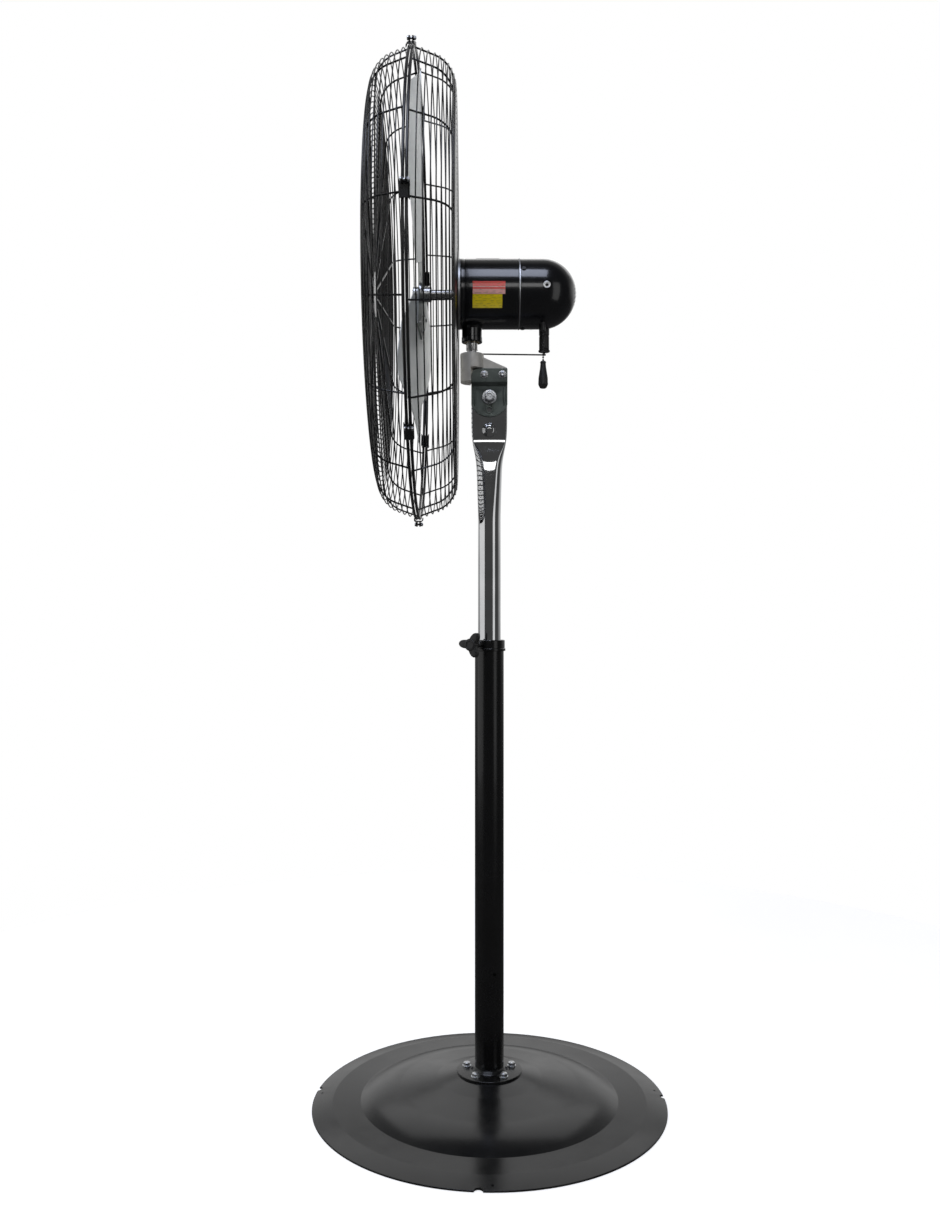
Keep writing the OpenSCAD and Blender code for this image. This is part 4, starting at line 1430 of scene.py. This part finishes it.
# ---- Guard clips ----
# Seven folded steel channels straddle both rims. Two ears at one end of each are drawn
# together by a small plated screw and nut, and the channel is powder coated black.
clip_turns = [90 - 5.6 - 360 * k / 7 for k in range(7)]
rim_height = axis_height + guard_radius
clip_line = [
    (-0.0066, rim_height - 0.0005),
    (-0.0080, rim_height - 0.0005),
    (-0.0078, rim_height + 0.0040),
    (-0.0052, rim_height + 0.0062),
    (0.0052, rim_height + 0.0062),
    (0.0078, rim_height + 0.0040),
    (0.0080, rim_height - 0.0005),
    (0.0066, rim_height - 0.0005),
    (0.0064, rim_height + 0.0030),
    (0.0044, rim_height + 0.0046),
    (-0.0044, rim_height + 0.0046),
    (-0.0064, rim_height + 0.0030),
]
clip_half = 0.014
clip = draw("guard_clip", [Vector((rim_x + x, clip_half, z)) for x, z in clip_line])
bpy.ops.mesh.select_all(action="SELECT")
bpy.ops.mesh.edge_face_add()
bpy.ops.mesh.extrude_region_move(TRANSFORM_OT_translate={"value": (0, -2 * clip_half, 0)})
close_up(30)
bevel(clip, 0.0003, 2, 30)
ear_place = clip_half - 0.004
ear_height = rim_height + 0.0104
ears = []
for x in (-0.0027, 0.0027):
    ear = drill(0.004, 0.0026, (rim_x + x, ear_place, ear_height), "X", 40)
    ear_foot = square_block((rim_x + x, ear_place, ear_height - 0.0024), (0.0026, 0.008, 0.0048))
    for part in (ear, ear_foot):
        bevel(part, 0.0003, 2)
        ears.append(part)
clip = joined("guard_clip", [clip] + ears)
clips = repeated("guard_clip_set", clip, clip_turns, "X", axis)
clips.data.materials.append(guard_paint)
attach(clips, "head")
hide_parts("guard_clips")
screw_head = turned(
    "clip_screw_head",
    rounded(
        [
            (0.0, -0.0042),
            (0.0035, -0.0042, 0.0002),
            (0.0033, -0.0062, 0.0010),
            (0.0016, -0.0072, 0.0006),
            (0.0014, -0.0058, 0.0001),
            (0.0, -0.0058),
        ]
    ),
    steps=28,
    centre=(rim_x, ear_place, ear_height),
    along="X",
)
screw_shank = drill(0.0019, 0.0128, (rim_x + 0.0019, ear_place, ear_height), "X", 20)
bevel(screw_shank, 0.0004)
screw_nut = hexagon(0.0074, 0.0031, (rim_x + 0.0058, ear_place, ear_height), "X", 0.0004)
clip_screw = joined("clip_screw", [screw_head, screw_shank, screw_nut])
clip_screws = repeated("clip_screw_set", clip_screw, clip_turns, "X", axis)
clip_screws.data.materials.append(zinc)
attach(clip_screws, "head")
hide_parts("clip_screws")


# ---- Shaft and hub ----
# The ground motor shaft runs out through the front plate. A turned alloy hub is clamped to
# it by a grub screw, and its flange carries the three blade arms.
coat("motor_shaft", turned_steel)
coat("worm", brass)
hub_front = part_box("blade_hub")[0].x
hub_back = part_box("blade_hub")[1].x
hub = turned(
    "blade_hub_turned",
    rounded(
        [
            (0.008, hub_front),
            (0.0125, hub_front, 0.0008),
            (0.013, hub_front + 0.0008, 0.0004),
            (0.013, hub_front + 0.010),
            (0.020, hub_front + 0.010, 0.0006),
            (0.020, hub_front + 0.015, 0.0006),
            (0.013, hub_front + 0.015, 0.0006),
            (0.013, hub_back, 0.0012),
            (0.008, hub_back, 0.0003),
            (0.008, hub_front),
        ]
    ),
    steps=80,
    centre=axis,
    along="X",
)
cut(hub, [drill(0.0025, 0.012, (-0.107, 0, axis_height + 0.013), "Z", 24)])
bpy.ops.object.shade_smooth_by_angle(angle=math.radians(35))
machined = bright_metal(
    "machined_alloy", (0.55, 0.56, 0.57), (0.7, 0.71, 0.71), 0.36, 0.22, (8, 1, 1), 300, 0.00001
)
hub.data.materials.append(machined)
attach(hub, "rotor")
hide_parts("blade_hub")


# ---- Blades ----
# Three broad blades, cut from aluminium sheet and rolled to a shallow curve, each riveted
# to a steel arm behind its root. The sheet is left with its mill finish.
blade_sheet = bright_metal(
    "mill_finish_sheet", (0.78, 0.8, 0.78), (0.88, 0.9, 0.87), 0.5, 0.36, (1, 1, 1), 30, 0.00003, 0.35
)
coat("blades", blade_sheet)
arm_steel = bright_metal(
    "pickled_steel_arm", (0.36, 0.38, 0.37), (0.5, 0.52, 0.5), 0.5, 0.34, (1, 1, 1), 120, 0.00002
)
coat("blade_arms", arm_steel)
coat("blade_rivets", machined)


# ---- Crank and link rod ----
# The gearbox turns a blackened crank disc, whose pin works a thin wire rod from a fixed
# anchor on the casting. Together they swing the head from side to side.
disc_low = 1.3022
crank = turned(
    "crank_disc_and_shaft",
    rounded(
        [
            (0.0, disc_low),
            (0.0094, disc_low, 0.0005),
            (0.010, disc_low + 0.0006, 0.0004),
            (0.010, disc_low + 0.003, 0.0005),
            (0.003, disc_low + 0.003),
            (0.003, axis_height - 0.006),
            (0.0086, axis_height - 0.006, 0.0005),
            (0.0086, axis_height + 0.006, 0.0005),
            (0.0, axis_height + 0.006),
        ]
    ),
    steps=64,
    centre=(crank_x, crank_y, 0),
)
crank_pin = turned(
    "crank_pin",
    rounded([(0.0, 1.3009), (0.0022, 1.3009, 0.0003), (0.0025, disc_low), (0.0, disc_low)]),
    steps=32,
    centre=(crank_x, crank_y + 0.007, 0),
)
crank = joined("crank_disc_and_shaft", [crank, crank_pin])
crank.data.materials.append(black_wire)
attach(crank, "crank")
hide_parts("crank")
coat("link_rod", black_wire)


# ---- Pull chain ----
# A blackened ball chain hangs from the switch nipple to a turned, tapered pull with a
# rounded foot.
pull_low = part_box("pull_chain")[0].z
pull = turned(
    "pull_knob",
    rounded(
        [
            (0.0, pull_low),
            (0.0052, pull_low, 0.003),
            (0.0084, pull_low + 0.0065, 0.004),
            (0.0080, pull_low + 0.018, 0.006),
            (0.0052, pull_low + 0.036, 0.006),
            (0.0046, pull_low + 0.0425, 0.001),
            (0.0052, pull_low + 0.0445, 0.0008),
            (0.0040, pull_low + 0.047, 0.0016),
            (0.0, pull_low + 0.047),
        ],
        8,
    ),
    steps=64,
    centre=(chain_x, chain_y, 0),
)
links = [pull]
for k in range(13):
    height = pull_low + 0.0486 + 0.0048 * k
    deselect()
    bpy.ops.mesh.primitive_uv_sphere_add(
        segments=16, ring_count=10, radius=0.0017, location=(chain_x, chain_y, height)
    )
    ball = bpy.context.object
    ball.scale = (1, 1, 1.06)
    settle(ball)
    bpy.ops.object.shade_smooth()
    links.append(ball)
chain_ends = [(chain_x, chain_y, pull_low + 0.044), (chain_x, chain_y, pull_low + 0.107)]
links.append(wire("chain_wire", chain_ends, 0.0006, 2))
chain = joined("pull_chain_and_knob", links)
chain.data.materials.append(knob_plastic)
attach(chain, "chain")
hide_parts("pull_chain")


# ---- Floor and light ----
# A plain pale studio: a white floor and backdrop, a cool soft box overhead, one in front,
# one behind and two at the sides. The dim room gives the chrome its grey streaks.
deselect()
bpy.ops.mesh.primitive_circle_add(vertices=64, radius=1.5, fill_type="NGON", location=(0, 0.2, -0.0004))
floor = bpy.context.object
floor.name = "studio_floor"
settle(floor)
floor_paint, tree, shader, place = material("studio_floor_paint")
floor_patches = noise(tree, place, 3, 2)
tree.links.new(
    tint(tree, floor_patches, (0.84, 0.84, 0.84), (0.88, 0.88, 0.88)), shader.inputs["Base Color"]
)
shader.inputs["Roughness"].default_value = 0.9
shader.inputs["Emission Color"].default_value = (1, 1, 1, 1)
shader.inputs["Emission Strength"].default_value = 0.62
floor.data.materials.append(floor_paint)
floor.visible_glossy = False

world = bpy.data.worlds.new("studio_ground")
world.use_nodes = True
scene.world = world
tree = world.node_tree
white_ground = tree.nodes["Background"]
white_ground.inputs["Color"].default_value = (1, 1, 1, 1)
white_ground.inputs["Strength"].default_value = 1.0
way = tree.nodes.new("ShaderNodeTexCoord")
way_parts = tree.nodes.new("ShaderNodeSeparateXYZ")
tree.links.new(way.outputs["Generated"], way_parts.inputs["Vector"])


def reckon(tree, operation, first, second):
    """Adds or multiplies two values in a node tree."""
    made = tree.nodes.new("ShaderNodeMath")
    made.operation = operation
    for socket, value in zip(made.inputs, (first, second)):
        if isinstance(value, float):
            socket.default_value = value
        else:
            tree.links.new(value, socket)
    return made.outputs["Value"]


across = way_parts.outputs["Y"]
rise = way_parts.outputs["Z"]
backdrop = reckon(
    tree,
    "MULTIPLY",
    spread_between(tree, across, 0.0, 1.0, 0.1, 0.6),
    spread_between(tree, rise, 0.95, 0.3, 0.32, 0.5),
)
backdrop = reckon(tree, "MULTIPLY", backdrop, spread_between(tree, rise, 0.45, 1.0, 0.03, 0.15))
backdrop = reckon(tree, "MULTIPLY", backdrop, spread_between(tree, rise, 0.0, 1.0, -0.12, 0.0))
room = reckon(tree, "ADD", backdrop, 0.07)
studio = tree.nodes.new("ShaderNodeBackground")
tree.links.new(room, studio.inputs["Strength"])
choice = tree.nodes.new("ShaderNodeMixShader")
rays = tree.nodes.new("ShaderNodeLightPath")
tree.links.new(rays.outputs["Is Camera Ray"], choice.inputs["Fac"])
tree.links.new(studio.outputs["Background"], choice.inputs[1])
tree.links.new(white_ground.outputs["Background"], choice.inputs[2])
tree.links.new(choice.outputs["Shader"], tree.nodes["World Output"].inputs["Surface"])


def soft_box(name, place, aim, width, height, power, colour=(1, 1, 1)):
    light = bpy.data.lights.new(name, "AREA")
    light.shape = "RECTANGLE"
    light.size = width
    light.size_y = height
    light.energy = power
    light.color = colour
    lamp = bpy.data.objects.new(name, light)
    lamp.location = place
    lamp.rotation_euler = (Vector(aim) - Vector(place)).to_track_quat("-Z", "Y").to_euler()
    scene.collection.objects.link(lamp)


soft_box("overhead_box", (-0.55, -1.15, 3.35), (-0.4, 0, 1.4), 2.3, 1.15, 34, (0.86, 0.93, 1.15))
soft_box("front_box", (0.0, -2.45, 2.06), (0, 0, 1.4), 1.3, 0.5, 4.6)
soft_box("left_box", (-2.45, -0.45, 1.3), (0, 0, 1.1), 2.9, 2.3, 14)
soft_box("right_box", (1.8, -1.7, 1.3), (0, 0, 1.1), 1.0, 2.3, 5)
soft_box("back_box", (0, 1.9, 2.3), (0, 0, 0.6), 3.2, 1.8, 13)
scene.view_settings.view_transform = "Standard"
